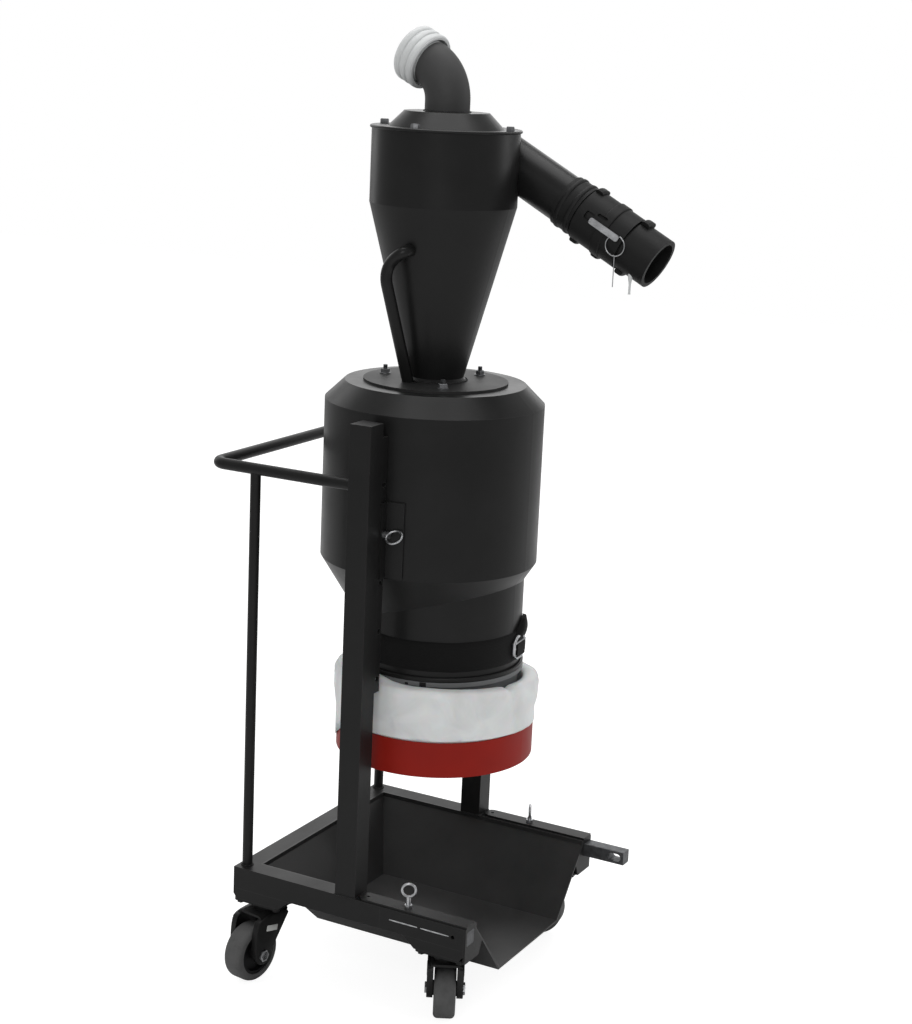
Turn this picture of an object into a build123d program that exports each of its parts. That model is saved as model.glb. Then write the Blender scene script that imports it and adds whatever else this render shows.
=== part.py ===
from build123d import *
from math import asin, cos, degrees, radians, sin
import os

# A dust pre-separator on a four-wheeled trolley: a cyclone on a settling drum,
# a film bag cassette under the drum's neck, two posts, a push handle and a tray.
# Millimetres. Z is up, the floor is z = 0, the tray opens towards +X and the
# push handle is at -X. "Near" pieces are on the -Y side and "far" ones on +Y.

# Casters
wheel_radius = 51
tyre_width = 38
tyre_depth = 13
tyre_round = 8
hub_web = 16
hub_rim = 5
hub_width_share = 0.84
hub_boss_radius = 13
hub_side_gap = 1
axle_radius = 5
axle_clearance = 0.08
axle_head_radius = 8
axle_head_length = 6
trail = 35
fork_gap = 50
fork_thickness = 4
fork_crown_gap = 23
fork_crown_front = 30
fork_crown_back = 40
fork_leg_end = 13
fork_round = 10
bearing_radius = 21
bearing_gap = 0.5
caster_top_gap = 16
caster_plate_length = 94
caster_plate_width = 62
caster_plate_thickness = 4
caster_plate_round = 8
kingpin_radius = 6
caster_bolt_radius = 7
caster_bolt_height = 5
caster_bolt_inset = 10
near_rear_heading = -99
near_front_heading = 118
far_rear_heading = 99
far_front_heading = 190

# Folded brackets over the casters, sloped up to the beam at their inner ends
bracket_height = 19
bracket_wall = 3
bracket_width = 50
bracket_slope_length = 22
bracket_cut_length = 7
bracket_cut_height = 9

# Trolley frame
beam_width = 34
beam_height = 40
beam_wall = 3
drum_post_gap = 17
frame_rear = 230
frame_front = 237
guide_start = 70
guide_plate_height = 4
guide_plate_inset = 2
guide_plate_gap = 2
guide_plate_hole_radius = 3
slot_height = 3
slot_gap = 5
slot_margin = 18
slot_end_margin = 17.5
slot_hole_radius = 3.5

# Tray between the beams, open at the front
tray_sheet = 3
tray_lip = 8
tray_depth = 121.4
tray_side_width = 99
tray_rear_width = 65
end_plate_thickness = 4

# Docking bars and the eye screws that clamp them
bar_size = 25
bar_clearance = 0.3
bar_length = 262
bar_rest_extension = 80
bar_centre_drop = 19.5
bar_round = 2
bar_hole_length = 25
bar_hole_height = 15
bar_hole_margin = 6
bar_hole_round = 6.75
eye_offset = 46
eye_radius = 11.5
eye_wire = 2.3
eye_shank_radius = 4
eye_collar_radius = 6.5
eye_collar_height = 5
eye_near_rise = 35
eye_far_rise = 25
eye_near_azimuth = 28
eye_far_azimuth = 118

# Posts, their hole rails, pins and the drum's saddles
post_size = 40
post_wall = 3
post_height = 824
rail_thickness = 5
rail_drum_gap = 1
rail_length = 440
rail_top_drop = 24
rail_hole_radius = 5
rail_hole_count = 5
rail_hole_margin = 23.5
rail_end_margin = 80.5
holes_below_pin_count = 3
pin_clearance = 0.1
pin_head_radius = 6
pin_head_length = 10
pin_end_length = 4
pin_ring_shift = 6
pin_ring_radius = 14
pin_ring_wire = 1.8
pin_ring_angle = 37
saddle_angle = 10
saddle_thickness = 4
saddle_height = 130
saddle_rise = 54.5
cheek_thickness = 4
cheek_depth = 9.5

# Push handle and the rods under it
handle_tube_radius = 10
handle_tube_wall = 2
handle_reach = 310
handle_drop = 106
handle_corner_radius = 22
handle_inset = 3
rod_radius = 9
rod_inset = 15

# Settling drum, which hangs from the posts
drum_radius = 190
drum_wall = 3
saddle_drum_gap = 3
drum_side_height = 276
drum_chamfer_height = 32
drum_chamfer_width = 33
drum_cone_slope = 0.63
neck_step = 44
neck_offset = 27
neck_height = 183
overrun = 20

# Lip, strap and buckle of the neck
lip_height = 8
lip_depth = 5
lip_round = 1.5
strap_width = 52
strap_thickness = 4
strap_round = 1.2
strap_rise = 18
buckle_width = 46
buckle_height = 38
buckle_bar = 4
buckle_thickness = 5
buckle_tongue = 9
buckle_angle = 5

# Bag cassette under the neck
core_wall = 3
core_clearance = 3
band_width = 29
band_wall = 3
band_height = 62
band_drop = 162
bag_bulge = 8
bag_overhang = 2
bag_edge_width = 9
bag_edge_height = 14
bag_clearance = 0.5
bag_film_floor = 4
bag_lower_share = (-0.25, -1)

# Cyclone
cyclone_radius = 125
cyclone_wall = 3
cone_height = 299
cylinder_height = 124
outlet_cone_radius = 46
plate_radius = 125
plate_thickness = 4
collar_height = 6
collar_width = 7
lid_overhang = 2
lid_thickness = 3
lid_rim_width = 27
hat_slope_width = 21
hat_height = 26
hat_edge = 5

# Outlet elbow and its ribbed hose cuff
outlet_radius = 38
pipe_wall = 2
elbow_straight = 18
elbow_bend_radius = 65
elbow_angle = 66
elbow_heading = 171
cuff_length = 42
cuff_thickness = 11
cuff_wall = 4
cuff_rib_count = 3
cuff_rib_depth = 3
cuff_rib_share = 0.42

# Inlet pipe, sloping down towards +X from the far side of the cyclone
inlet_radius = 42
inlet_angle = 28
inlet_crossing_drop = 6
inlet_length = 411
pipe_end_cover = 84
sleeve_length = 38.5
sleeve_thickness = 3
sleeve_rib_height = 1.6
sleeve_rib_width = 8

# Rubber coupling and its mouth, with rounded lugs above and below
coupling_gap = 3
coupling_length = 94
coupling_thickness = 5
coupling_band_width = 18
coupling_band_height = 2
coupling_band_round = 1.8
coupling_band_inset = 40.5
lug_length = 15
lug_height = 5
lug_round = 4
lug_angle = 34
mouth_length = 56.5
mouth_spigot_length = 16
mouth_flare = 2.5
mouth_wall = 7.5

# Latch bar of the coupling, hooked into a window, with its split ring and pin
latch_inset = 28.5
latch_length = 60
latch_width = 11
latch_round = 4
latch_height = 4
latch_angle = 11
latch_leg_length = 2.5
latch_leg_width = 5
latch_leg_shift = 1.5
window_inset = 14.5
window_length = 17
window_width = 14
window_round = 3
window_angle = 16
slit_inset = 33.5
slit_length = 20
slit_width = 6
slit_angle = 29
ring_radius = 17
ring_wire = 1
ring_inset = 88.5
ring_gap = 1.5
ring_angle = -2
ring_start_angle = 163
ring_arc_angle = 286
ring_pin_length = 51
ring_pin_radius = 0.8
peg_place_length = 388
peg_angle = -54
peg_head_radius = 4
peg_waist_radius = 1.8
peg_foot_radius = 2.3
peg_length = 30
peg_foot_height = 3
peg_taper_height = 14

# Hand grip on the cyclone's cone
grip_radius = 10
grip_foot_distance = 63
grip_foot_azimuth = 250
grip_knee_gap = 32
grip_knee_azimuth = 253
grip_knee_rise = 167
grip_shoulder_gap = 22
grip_shoulder_azimuth = 257
grip_shoulder_rise = 207
grip_top_azimuth = 270
grip_top_rise = 228

# Bolts of the cyclone's plate and lid
stud_inset = 29
stud_first_angle = 66
stud_count = 3
stud_radius = 4
stud_length = 16
stud_nut_radius = 8
stud_nut_height = 7
lid_bolt_inset = 13
lid_bolt_count = 4
lid_bolt_radius = 7
lid_bolt_height = 11

# Heights worked out from the floor up
fork_crown_top = 2 * wheel_radius + fork_crown_gap
caster_total_height = fork_crown_top + caster_top_gap
beam_bottom = caster_total_height + bracket_height
frame_top = beam_bottom + beam_height
bar_height = frame_top - bar_centre_drop
post_top = frame_top + post_height
handle_height = post_top - handle_drop
rail_top = post_top - rail_top_drop
rail_bottom = rail_top - rail_length
rail_hole_pitch = (rail_length - rail_hole_margin - rail_end_margin) / (rail_hole_count - 1)
pin_height = rail_bottom + rail_hole_margin + holes_below_pin_count * rail_hole_pitch
saddle_top = pin_height + saddle_rise
saddle_bottom = saddle_top - saddle_height
drum_cone_top = saddle_bottom - saddle_drum_gap
drum_shoulder = drum_cone_top + drum_side_height
drum_top_height = drum_shoulder + drum_chamfer_height
neck_bottom = drum_cone_top - neck_height
band_bottom = neck_bottom - band_drop
plate_top = drum_top_height + plate_thickness
cyclone_cone_top = plate_top + cone_height
cyclone_top = cyclone_cone_top + cylinder_height
inlet_crossing_height = cyclone_top - inlet_crossing_drop

# Widths worked out from the drum, the inlet and the outlet
frame_half_width = drum_radius + drum_post_gap + post_size
beam_line = frame_half_width - beam_width / 2
beam_inner = frame_half_width - beam_width
post_line = frame_half_width - post_size / 2
post_inner = frame_half_width - post_size
rail_front = post_size / 2
rail_width = drum_post_gap - rail_drum_gap
pin_radius = rail_hole_radius - pin_clearance
drum_top_radius = drum_radius - drum_chamfer_width
neck_radius = drum_radius - neck_step
band_radius = neck_radius + band_width
cuff_outer = outlet_radius + cuff_thickness
sleeve_outer = inlet_radius + sleeve_thickness
coupling_outer = inlet_radius + coupling_thickness
mouth_outer = inlet_radius + mouth_flare
mouth_bore = mouth_outer - mouth_wall

# Reference points worked out from the sizes above
inlet_run = cos(radians(inlet_angle))
inlet_fall = sin(radians(inlet_angle))
quarter_turn = 90
half_turn = 180
front_reach = inlet_length * inlet_run + mouth_outer * inlet_fall
drum_x = (handle_reach - front_reach) / 2
drum_axis = Axis((drum_x, 0, 0), (0, 0, 1))
neck_axis = Axis((drum_x + neck_offset, 0, 0), (0, 0, 1))
drum_side = Plane((drum_x, 0, 0), x_dir=(1, 0, 0), z_dir=(0, -1, 0))
neck_side = Plane((drum_x + neck_offset, 0, 0), x_dir=(1, 0, 0), z_dir=(0, -1, 0))

os.makedirs("parts", exist_ok=True)
finished = []


def keep(name, part):
    """Label a finished piece and write it out."""
    part.label = name
    export_step(part, f"parts/{name}.step")
    finished.append(name)


def level(height):
    """Horizontal plane at a height, centred on the drum's axis."""
    return Plane((drum_x, 0, height), x_dir=(1, 0, 0), z_dir=(0, 0, 1))


def upright(x, y, angle):
    """Vertical plane whose first direction points at an angle in plan and whose second is up."""
    turn = radians(angle)
    return Plane((x, y, 0), x_dir=(cos(turn), sin(turn), 0), z_dir=(sin(turn), -cos(turn), 0))


# Settling drum: cylinder, cone and the neck that sits off its axis
cone_foot_radius = neck_radius - neck_offset
cone_foot = drum_cone_top - (drum_radius - cone_foot_radius) / drum_cone_slope
with BuildPart() as drum_shell:
    with BuildSketch(drum_side):
        with BuildLine():
            Polyline(
                (0, cone_foot),
                (cone_foot_radius, cone_foot),
                (drum_radius, drum_cone_top),
                (drum_radius, drum_shoulder),
                (0, drum_shoulder),
                close=True,
            )
        make_face()
    revolve(axis=drum_axis)
    with BuildSketch(level(neck_bottom)):
        with Locations((neck_offset, 0)):
            Circle(neck_radius)
    extrude(amount=drum_cone_top - neck_bottom)
    with BuildSketch(drum_side):
        with BuildLine():
            Polyline(
                (0, cone_foot),
                (cone_foot_radius - drum_wall, cone_foot),
                (drum_radius - drum_wall, drum_cone_top),
                (drum_radius - drum_wall, drum_shoulder),
                (0, drum_shoulder),
                close=True,
            )
        make_face()
    revolve(axis=drum_axis, mode=Mode.SUBTRACT)
    with BuildSketch(level(neck_bottom)):
        with Locations((neck_offset, 0)):
            Circle(neck_radius - drum_wall)
    extrude(amount=drum_cone_top - neck_bottom, mode=Mode.SUBTRACT)
keep("drum_shell", drum_shell.part)

# Chamfered top of the drum, with the opening that dust falls through
with BuildPart() as drum_top:
    with BuildSketch(drum_side):
        with BuildLine():
            Polyline(
                (drum_radius, drum_shoulder),
                (drum_top_radius, drum_top_height),
                (outlet_cone_radius, drum_top_height),
                (outlet_cone_radius, drum_top_height - drum_wall),
                (drum_top_radius - drum_wall / 2, drum_top_height - drum_wall),
                (drum_radius - drum_wall, drum_shoulder),
                close=True,
            )
        make_face()
    revolve(axis=drum_axis)
keep("drum_top", drum_top.part)

# Lip round the bottom of the neck, and the strap above it
with BuildPart() as neck_lip:
    with BuildSketch(neck_side):
        with Locations((neck_radius + lip_depth / 2, neck_bottom + lip_height / 2)):
            RectangleRounded(lip_depth, lip_height, lip_round)
    revolve(axis=neck_axis)
keep("neck_lip", neck_lip.part)

strap_bottom = neck_bottom + strap_rise
with BuildPart() as neck_strap:
    with BuildSketch(neck_side):
        with Locations((neck_radius + strap_thickness / 2, strap_bottom + strap_width / 2)):
            RectangleRounded(strap_thickness, strap_width, strap_round)
    revolve(axis=neck_axis)
keep("neck_strap", neck_strap.part)

buckle_plane = Plane(
    (
        drum_x + neck_offset + (neck_radius + strap_thickness) * cos(radians(buckle_angle)),
        (neck_radius + strap_thickness) * sin(radians(buckle_angle)),
        strap_bottom + strap_width / 2,
    ),
    x_dir=(0, 0, 1),
    z_dir=(cos(radians(buckle_angle)), sin(radians(buckle_angle)), 0),
)
with BuildPart() as strap_buckle:
    with BuildSketch(buckle_plane):
        RectangleRounded(buckle_height, buckle_width, buckle_bar)
    extrude(amount=buckle_thickness)
    with BuildSketch(buckle_plane):
        for side in (-1, 1):
            with Locations((side * buckle_height / 4, 0)):
                Rectangle((buckle_height - 3 * buckle_bar) / 2, buckle_width - 2 * buckle_bar)
    extrude(amount=buckle_thickness, mode=Mode.SUBTRACT)
    with BuildSketch(buckle_plane):
        Rectangle(buckle_tongue, buckle_width - buckle_bar)
    extrude(amount=buckle_thickness)
keep("strap_buckle", strap_buckle.part)

# Bag cassette: core tube, folded film and the red band that holds it
core_outer = neck_radius - core_clearance
with BuildPart() as cassette_core:
    with BuildSketch(neck_side):
        with BuildLine():
            Polyline(
                (core_outer - core_wall, band_bottom + band_wall),
                (core_outer, band_bottom + band_wall),
                (core_outer, neck_bottom - lip_height),
                (neck_radius + lip_depth, neck_bottom - lip_height),
                (neck_radius + lip_depth, neck_bottom),
                (core_outer - core_wall, neck_bottom),
                close=True,
            )
        make_face()
    revolve(axis=neck_axis)
keep("cassette_core", cassette_core.part)

with BuildPart() as cassette_band:
    with BuildSketch(neck_side):
        with BuildLine():
            Polyline(
                (core_outer - core_wall, band_bottom),
                (band_radius, band_bottom),
                (band_radius, band_bottom + band_height),
                (band_radius - band_wall, band_bottom + band_height),
                (band_radius - band_wall, band_bottom + band_wall),
                (core_outer - core_wall, band_bottom + band_wall),
                close=True,
            )
        make_face()
    revolve(axis=neck_axis)
keep("cassette_band", cassette_band.part)

bag_bottom = band_bottom + band_wall + bag_clearance
bag_top = neck_bottom - lip_height - bag_clearance
bag_mouth = band_bottom + band_height + bag_clearance
bag_widest = band_radius + bag_bulge
bag_inner = core_outer + bag_clearance
bag_outer = band_radius - band_wall - bag_clearance
with BuildPart() as dust_bag:
    with BuildSketch(neck_side):
        with BuildLine():
            Polyline(
                (bag_widest - bag_edge_width, bag_top),
                (bag_inner, bag_top),
                (bag_inner, bag_bottom),
                (bag_outer, bag_bottom),
                (bag_outer, bag_mouth),
                (band_radius + bag_overhang, bag_mouth),
            )
            Spline(
                (bag_widest - bag_edge_width, bag_top),
                (bag_widest, bag_top - bag_edge_height),
                (band_radius + bag_overhang, bag_mouth),
                tangents=[(1, 0), bag_lower_share],
            )
        make_face()
    revolve(axis=neck_axis)
    # Film drawn together inside the core closes the lower end
    with BuildSketch(Plane((drum_x + neck_offset, 0, band_bottom + band_wall))):
        Circle(core_outer - core_wall - bag_clearance)
    extrude(amount=bag_film_floor)
keep("dust_bag", dust_bag.part)

# Cyclone: bolted plate, cone and cylinder, and the lid with its raised hat
with BuildPart() as cyclone_plate:
    with BuildSketch(level(drum_top_height)):
        Circle(plate_radius)
        Circle(outlet_cone_radius - cyclone_wall, mode=Mode.SUBTRACT)
    extrude(amount=plate_thickness)
keep("cyclone_plate", cyclone_plate.part)

hat_foot_radius = cyclone_radius - lid_rim_width
hat_top_radius = hat_foot_radius - hat_slope_width
inlet_y = cyclone_radius - inlet_radius
inlet_start = Vector(drum_x, inlet_y, inlet_crossing_height)
inlet_direction = Vector(inlet_run, 0, -inlet_fall)
inlet_axis = Axis(inlet_start, inlet_direction)
inlet_side = Plane(inlet_start, x_dir=inlet_direction, z_dir=(0, -1, 0))
inlet_section = Plane(inlet_start, x_dir=(0, 1, 0), z_dir=inlet_direction)
cone_widening = (cyclone_radius - outlet_cone_radius) / (cyclone_cone_top - plate_top)
cone_outline = [
    (outlet_cone_radius + collar_width, plate_top),
    (outlet_cone_radius + collar_height * cone_widening, plate_top + collar_height),
    (cyclone_radius, cyclone_cone_top),
]
with BuildPart() as cyclone_body:
    with BuildSketch(drum_side):
        with BuildLine():
            Polyline(
                (outlet_cone_radius - cyclone_wall, plate_top),
                *cone_outline,
                (cyclone_radius, cyclone_top),
                (cyclone_radius - cyclone_wall, cyclone_top),
                (cyclone_radius - cyclone_wall, cyclone_cone_top),
                close=True,
            )
        make_face()
    revolve(axis=drum_axis)
    with BuildSketch(inlet_section):
        Circle(inlet_radius - pipe_wall)
    extrude(amount=cyclone_radius + inlet_radius, mode=Mode.SUBTRACT)
keep("cyclone_body", cyclone_body.part)

hat_top = cyclone_top + lid_thickness + hat_height
with BuildPart() as cyclone_lid:
    with BuildSketch(drum_side):
        with BuildLine():
            Polyline(
                (hat_foot_radius - lid_thickness, cyclone_top),
                (cyclone_radius + lid_overhang, cyclone_top),
                (cyclone_radius + lid_overhang, cyclone_top + lid_thickness),
                (hat_foot_radius, cyclone_top + lid_thickness),
                (hat_top_radius, hat_top - hat_edge),
                (hat_top_radius - hat_edge, hat_top),
                (outlet_radius - pipe_wall, hat_top),
                (outlet_radius - pipe_wall, hat_top - lid_thickness),
                (hat_top_radius - hat_edge, hat_top - lid_thickness),
                (hat_top_radius - lid_thickness, hat_top - hat_edge),
                close=True,
            )
        make_face()
    revolve(axis=drum_axis)
keep("cyclone_lid", cyclone_lid.part)

# Outlet elbow: a short rise and one bend back over the handle
elbow_side = upright(drum_x, 0, elbow_heading)
elbow_foot = (0, hat_top)
elbow_spring = (0, hat_top + elbow_straight)
with BuildPart() as outlet_elbow:
    with BuildLine(elbow_side) as elbow_path:
        Line(elbow_foot, elbow_spring)
        JernArc(start=elbow_spring, tangent=(0, 1), radius=elbow_bend_radius, arc_size=-elbow_angle)
    with BuildSketch(level(hat_top)):
        Circle(outlet_radius)
        Circle(outlet_radius - pipe_wall, mode=Mode.SUBTRACT)
    sweep(path=elbow_path.wires()[0])
keep("outlet_elbow", outlet_elbow.part)

# Ribbed hose cuff gripped on the elbow's end
bend = radians(elbow_angle)
cuff_out = elbow_bend_radius * (1 - cos(bend))
cuff_up = hat_top + elbow_straight + elbow_bend_radius * sin(bend)
cuff_side = Plane(
    elbow_side.from_local_coords((cuff_out, cuff_up, 0)),
    x_dir=elbow_side.from_local_coords((sin(bend), cos(bend), 0)) - elbow_side.origin,
    z_dir=elbow_side.z_dir,
)
cuff_axis = Axis(cuff_side.origin, cuff_side.x_dir)
rib_pitch = cuff_length / cuff_rib_count
with BuildPart() as outlet_cuff:
    with BuildSketch(cuff_side):
        with Locations((cuff_length / 2, cuff_outer - cuff_rib_depth - cuff_wall / 2)):
            Rectangle(cuff_length, cuff_wall)
        for rib in range(cuff_rib_count):
            with Locations((rib_pitch * rib + rib_pitch / 2, cuff_outer - cuff_rib_depth)):
                Ellipse(rib_pitch * cuff_rib_share, cuff_rib_depth)
        with Locations((cuff_length - cuff_wall / 2, (outlet_radius + cuff_outer - cuff_rib_depth) / 2)):
            Rectangle(cuff_wall, cuff_outer - cuff_rib_depth - outlet_radius)
        with Locations((cuff_length / 2, outlet_radius - cuff_wall / 2)):
            Rectangle(cuff_length, cuff_wall)
    revolve(axis=cuff_axis)
keep("outlet_cuff", outlet_cuff.part)

# Inlet pipe, cut to the round of the cyclone
mouth_place = inlet_length - mouth_length
coupling_start = mouth_place - coupling_gap - coupling_length
sleeve_start = coupling_start - coupling_gap - sleeve_length
pipe_end = inlet_length - pipe_end_cover
with BuildPart() as inlet_pipe:
    with BuildSketch(inlet_section):
        Circle(inlet_radius)
        Circle(inlet_radius - pipe_wall, mode=Mode.SUBTRACT)
    extrude(amount=pipe_end)
    with BuildSketch(level(cyclone_cone_top)):
        Circle(cyclone_radius)
    extrude(amount=cyclone_top - cyclone_cone_top + inlet_radius * 2, mode=Mode.SUBTRACT)
keep("inlet_pipe", inlet_pipe.part)

# Rubber sleeve that clamps the coupling to the pipe
with BuildPart() as inlet_sleeve:
    with BuildSketch(inlet_side):
        sleeve_middle = sleeve_start + sleeve_length / 2
        with Locations((sleeve_middle, (inlet_radius + sleeve_outer) / 2)):
            Rectangle(sleeve_length, sleeve_outer - inlet_radius)
        for side in (-1, 1):
            with Locations((sleeve_middle + side * sleeve_length / 4, sleeve_outer)):
                Ellipse(sleeve_rib_width / 2, sleeve_rib_height)
    revolve(axis=inlet_axis)
keep("inlet_sleeve", inlet_sleeve.part)


def inlet_plane(tilt):
    """Plane along the inlet's axis that faces the near side, tilted up by an angle."""
    turn = radians(tilt)
    facing = (inlet_fall * sin(turn), -cos(turn), inlet_run * sin(turn))
    return Plane(inlet_start, x_dir=inlet_direction, z_dir=facing)


def lug_section(start, angle):
    """Rounded section of a lug, from a distance along the inlet, turned round it by an angle."""
    with BuildSketch(inlet_plane(angle)) as section:
        with Locations((start + lug_length / 2, inlet_radius)):
            RectangleRounded(lug_length, 2 * (coupling_thickness + lug_height), lug_round)
        with Locations((start + lug_length / 2, inlet_radius - lug_length)):
            Rectangle(2 * lug_length, 2 * lug_length, mode=Mode.SUBTRACT)
    return section.sketch


latch_start = coupling_start + latch_inset
latch_side = inlet_plane(latch_angle)
band_middle = coupling_start + coupling_length - coupling_band_inset
band_outer = coupling_outer + coupling_band_height
with BuildPart() as coupling_body:
    with BuildSketch(inlet_side):
        with Locations((coupling_start + coupling_length / 2, (inlet_radius + coupling_outer) / 2)):
            Rectangle(coupling_length, coupling_outer - inlet_radius)
        with Locations((band_middle, coupling_outer)):
            RectangleRounded(coupling_band_width, 2 * coupling_band_height, coupling_band_round)
    revolve(axis=inlet_axis)
    add(lug_section(coupling_start, lug_angle / 2))
    revolve(axis=inlet_axis, revolution_arc=lug_angle)
    for start in (coupling_start, band_middle - lug_length / 2):
        add(lug_section(start, half_turn + lug_angle / 2))
        revolve(axis=inlet_axis, revolution_arc=lug_angle)
    with BuildSketch(inlet_plane(window_angle)):
        with Locations((coupling_start + window_inset + window_length / 2, 0)):
            RectangleRounded(window_length, window_width, window_round)
    extrude(amount=2 * coupling_outer, mode=Mode.SUBTRACT)
    with BuildSketch(inlet_plane(slit_angle)):
        with Locations((coupling_start + slit_inset + slit_length / 2, 0)):
            SlotOverall(slit_length, slit_width)
    extrude(amount=2 * coupling_outer, mode=Mode.SUBTRACT)
keep("coupling_body", coupling_body.part)

# Latch bar that rests on the coupling's band, its leg hooked through the window
with BuildPart() as coupling_latch:
    with BuildSketch(latch_side):
        with Locations((latch_start + latch_length / 2, 0)):
            RectangleRounded(latch_length, latch_width, latch_round)
    extrude(amount=band_outer + latch_height)
    with BuildSketch(inlet_section):
        Circle(band_outer)
    extrude(amount=inlet_length, mode=Mode.SUBTRACT)
    with BuildSketch(latch_side):
        with Locations((latch_start + latch_leg_length / 2, latch_leg_shift)):
            Rectangle(latch_leg_length, latch_leg_width)
    extrude(amount=band_outer + latch_height / 2)
    with BuildSketch(inlet_section):
        Circle(inlet_radius)
    extrude(amount=inlet_length, mode=Mode.SUBTRACT)
keep("coupling_latch", coupling_latch.part)

# Outer end of the coupling, the mouth that a hose plugs into
with BuildPart() as inlet_mouth:
    with BuildSketch(inlet_side):
        with Locations((mouth_place + mouth_length / 2, (mouth_bore + mouth_outer) / 2)):
            Rectangle(mouth_length, mouth_outer - mouth_bore)
        with Locations((mouth_place - mouth_spigot_length / 2, (mouth_bore + inlet_radius) / 2)):
            Rectangle(mouth_spigot_length, inlet_radius - mouth_bore)
    revolve(axis=inlet_axis)
    for angle in (lug_angle / 2, half_turn + lug_angle / 2):
        add(lug_section(mouth_place, angle))
        revolve(axis=inlet_axis, revolution_arc=lug_angle)
keep("inlet_mouth", inlet_mouth.part)


def beside(place, angle, radius):
    """Point at a distance along the inlet, out from its axis at an angle above the near side."""
    turn = radians(angle)
    outward = Vector(inlet_fall * sin(turn), -cos(turn), inlet_run * sin(turn))
    return inlet_start + inlet_direction * place + outward * radius


# Split ring in the latch bar's end, with the straight pin that hangs from it
ring_side = inlet_plane(ring_angle)
ring_centre = beside(coupling_start + ring_inset, ring_angle, coupling_outer + ring_gap + ring_wire)
ring_flat = Plane(ring_centre, x_dir=inlet_direction, z_dir=ring_side.z_dir)
ring_turn = radians(ring_start_angle)
ring_outward = ring_flat.x_dir * cos(ring_turn) + ring_flat.y_dir * sin(ring_turn)
down = Vector(0, 0, -1)
ring_low = (down - ring_flat.z_dir * down.dot(ring_flat.z_dir)).normalized()
with BuildPart() as coupling_ring:
    with BuildSketch(Plane(ring_centre, x_dir=ring_outward, z_dir=ring_flat.z_dir.cross(ring_outward))):
        with Locations((ring_radius, 0)):
            Circle(ring_wire)
    revolve(axis=Axis(ring_centre, ring_flat.z_dir), revolution_arc=ring_arc_angle)
    with BuildSketch(Plane(ring_centre + ring_low * ring_radius, z_dir=down)):
        Circle(ring_pin_radius)
    extrude(amount=ring_pin_length)
keep("coupling_ring", coupling_ring.part)

# Tapered peg that hangs under the mouth
peg_top = beside(peg_place_length, peg_angle, mouth_outer)
with BuildPart() as mouth_peg:
    with BuildSketch(upright(peg_top.X, peg_top.Y, 0)):
        with BuildLine():
            Polyline(
                (0, peg_top.Z + peg_head_radius),
                (peg_head_radius, peg_top.Z + peg_head_radius),
                (peg_head_radius, peg_top.Z),
                (peg_waist_radius, peg_top.Z - peg_taper_height),
                (peg_waist_radius, peg_top.Z - peg_length + peg_foot_height),
                (peg_foot_radius, peg_top.Z - peg_length),
                (0, peg_top.Z - peg_length),
                close=True,
            )
        make_face()
    revolve(axis=Axis(peg_top, (0, 0, 1)))
    with BuildSketch(inlet_section):
        Circle(mouth_outer)
    extrude(amount=inlet_length, mode=Mode.SUBTRACT)
keep("mouth_peg", mouth_peg.part)

# Hand grip beside the cyclone's cone


def polar(reach, azimuth, height):
    """Point at a distance and angle round the drum's axis."""
    turn = radians(azimuth)
    return Vector(drum_x + reach * cos(turn), reach * sin(turn), height)


def beside_cone(gap, azimuth, rise):
    """Point at a height above the plate and a gap outside the cone."""
    return polar(outlet_cone_radius + cone_widening * rise + gap, azimuth, plate_top + rise)


grip_foot = polar(grip_foot_distance, grip_foot_azimuth, plate_top)
grip_knee = beside_cone(grip_knee_gap, grip_knee_azimuth, grip_knee_rise)
grip_shoulder = beside_cone(grip_shoulder_gap, grip_shoulder_azimuth, grip_shoulder_rise)
grip_end = beside_cone(-cyclone_wall, grip_top_azimuth, grip_top_rise)
with BuildPart() as cone_grip:
    with BuildLine() as grip_path:
        Line(grip_foot, grip_knee)
        Spline(
            grip_knee,
            grip_shoulder,
            grip_end,
            tangents=[grip_knee - grip_foot, polar(0, 0, grip_end.Z) - grip_end],
        )
    with BuildSketch(Plane(grip_foot, z_dir=grip_knee - grip_foot)):
        Circle(grip_radius)
    sweep(path=grip_path.wires()[0])
    with BuildSketch(level(plate_top - grip_radius * 2)):
        Circle(plate_radius)
    extrude(amount=grip_radius * 2, mode=Mode.SUBTRACT)
    with BuildSketch(drum_side):
        with BuildLine():
            Polyline(
                (0, plate_top),
                *cone_outline,
                (0, cyclone_cone_top),
                close=True,
            )
        make_face()
    revolve(axis=drum_axis, mode=Mode.SUBTRACT)
keep("cone_grip", cone_grip.part)

# Stud bolts of the plate and screws of the lid
with BuildPart() as plate_bolts:
    with BuildSketch(level(plate_top)):
        with PolarLocations(plate_radius - stud_inset, stud_count, start_angle=stud_first_angle):
            RegularPolygon(stud_nut_radius, side_count=6)
    extrude(amount=stud_nut_height)
    with BuildSketch(level(plate_top)):
        with PolarLocations(plate_radius - stud_inset, stud_count, start_angle=stud_first_angle):
            Circle(stud_radius)
    extrude(amount=stud_length)
keep("plate_bolts", plate_bolts.part)

with BuildPart() as lid_bolts:
    with BuildSketch(level(cyclone_top + lid_thickness)):
        with PolarLocations(cyclone_radius - lid_bolt_inset, lid_bolt_count):
            RegularPolygon(lid_bolt_radius, side_count=6)
    extrude(amount=lid_bolt_height)
keep("lid_bolts", lid_bolts.part)


def across(x):
    """Plane across the trolley at a distance from the drum's axis: first Y, then height."""
    return Plane((drum_x + x, 0, 0), x_dir=(0, 1, 0), z_dir=(1, 0, 0))


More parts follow.
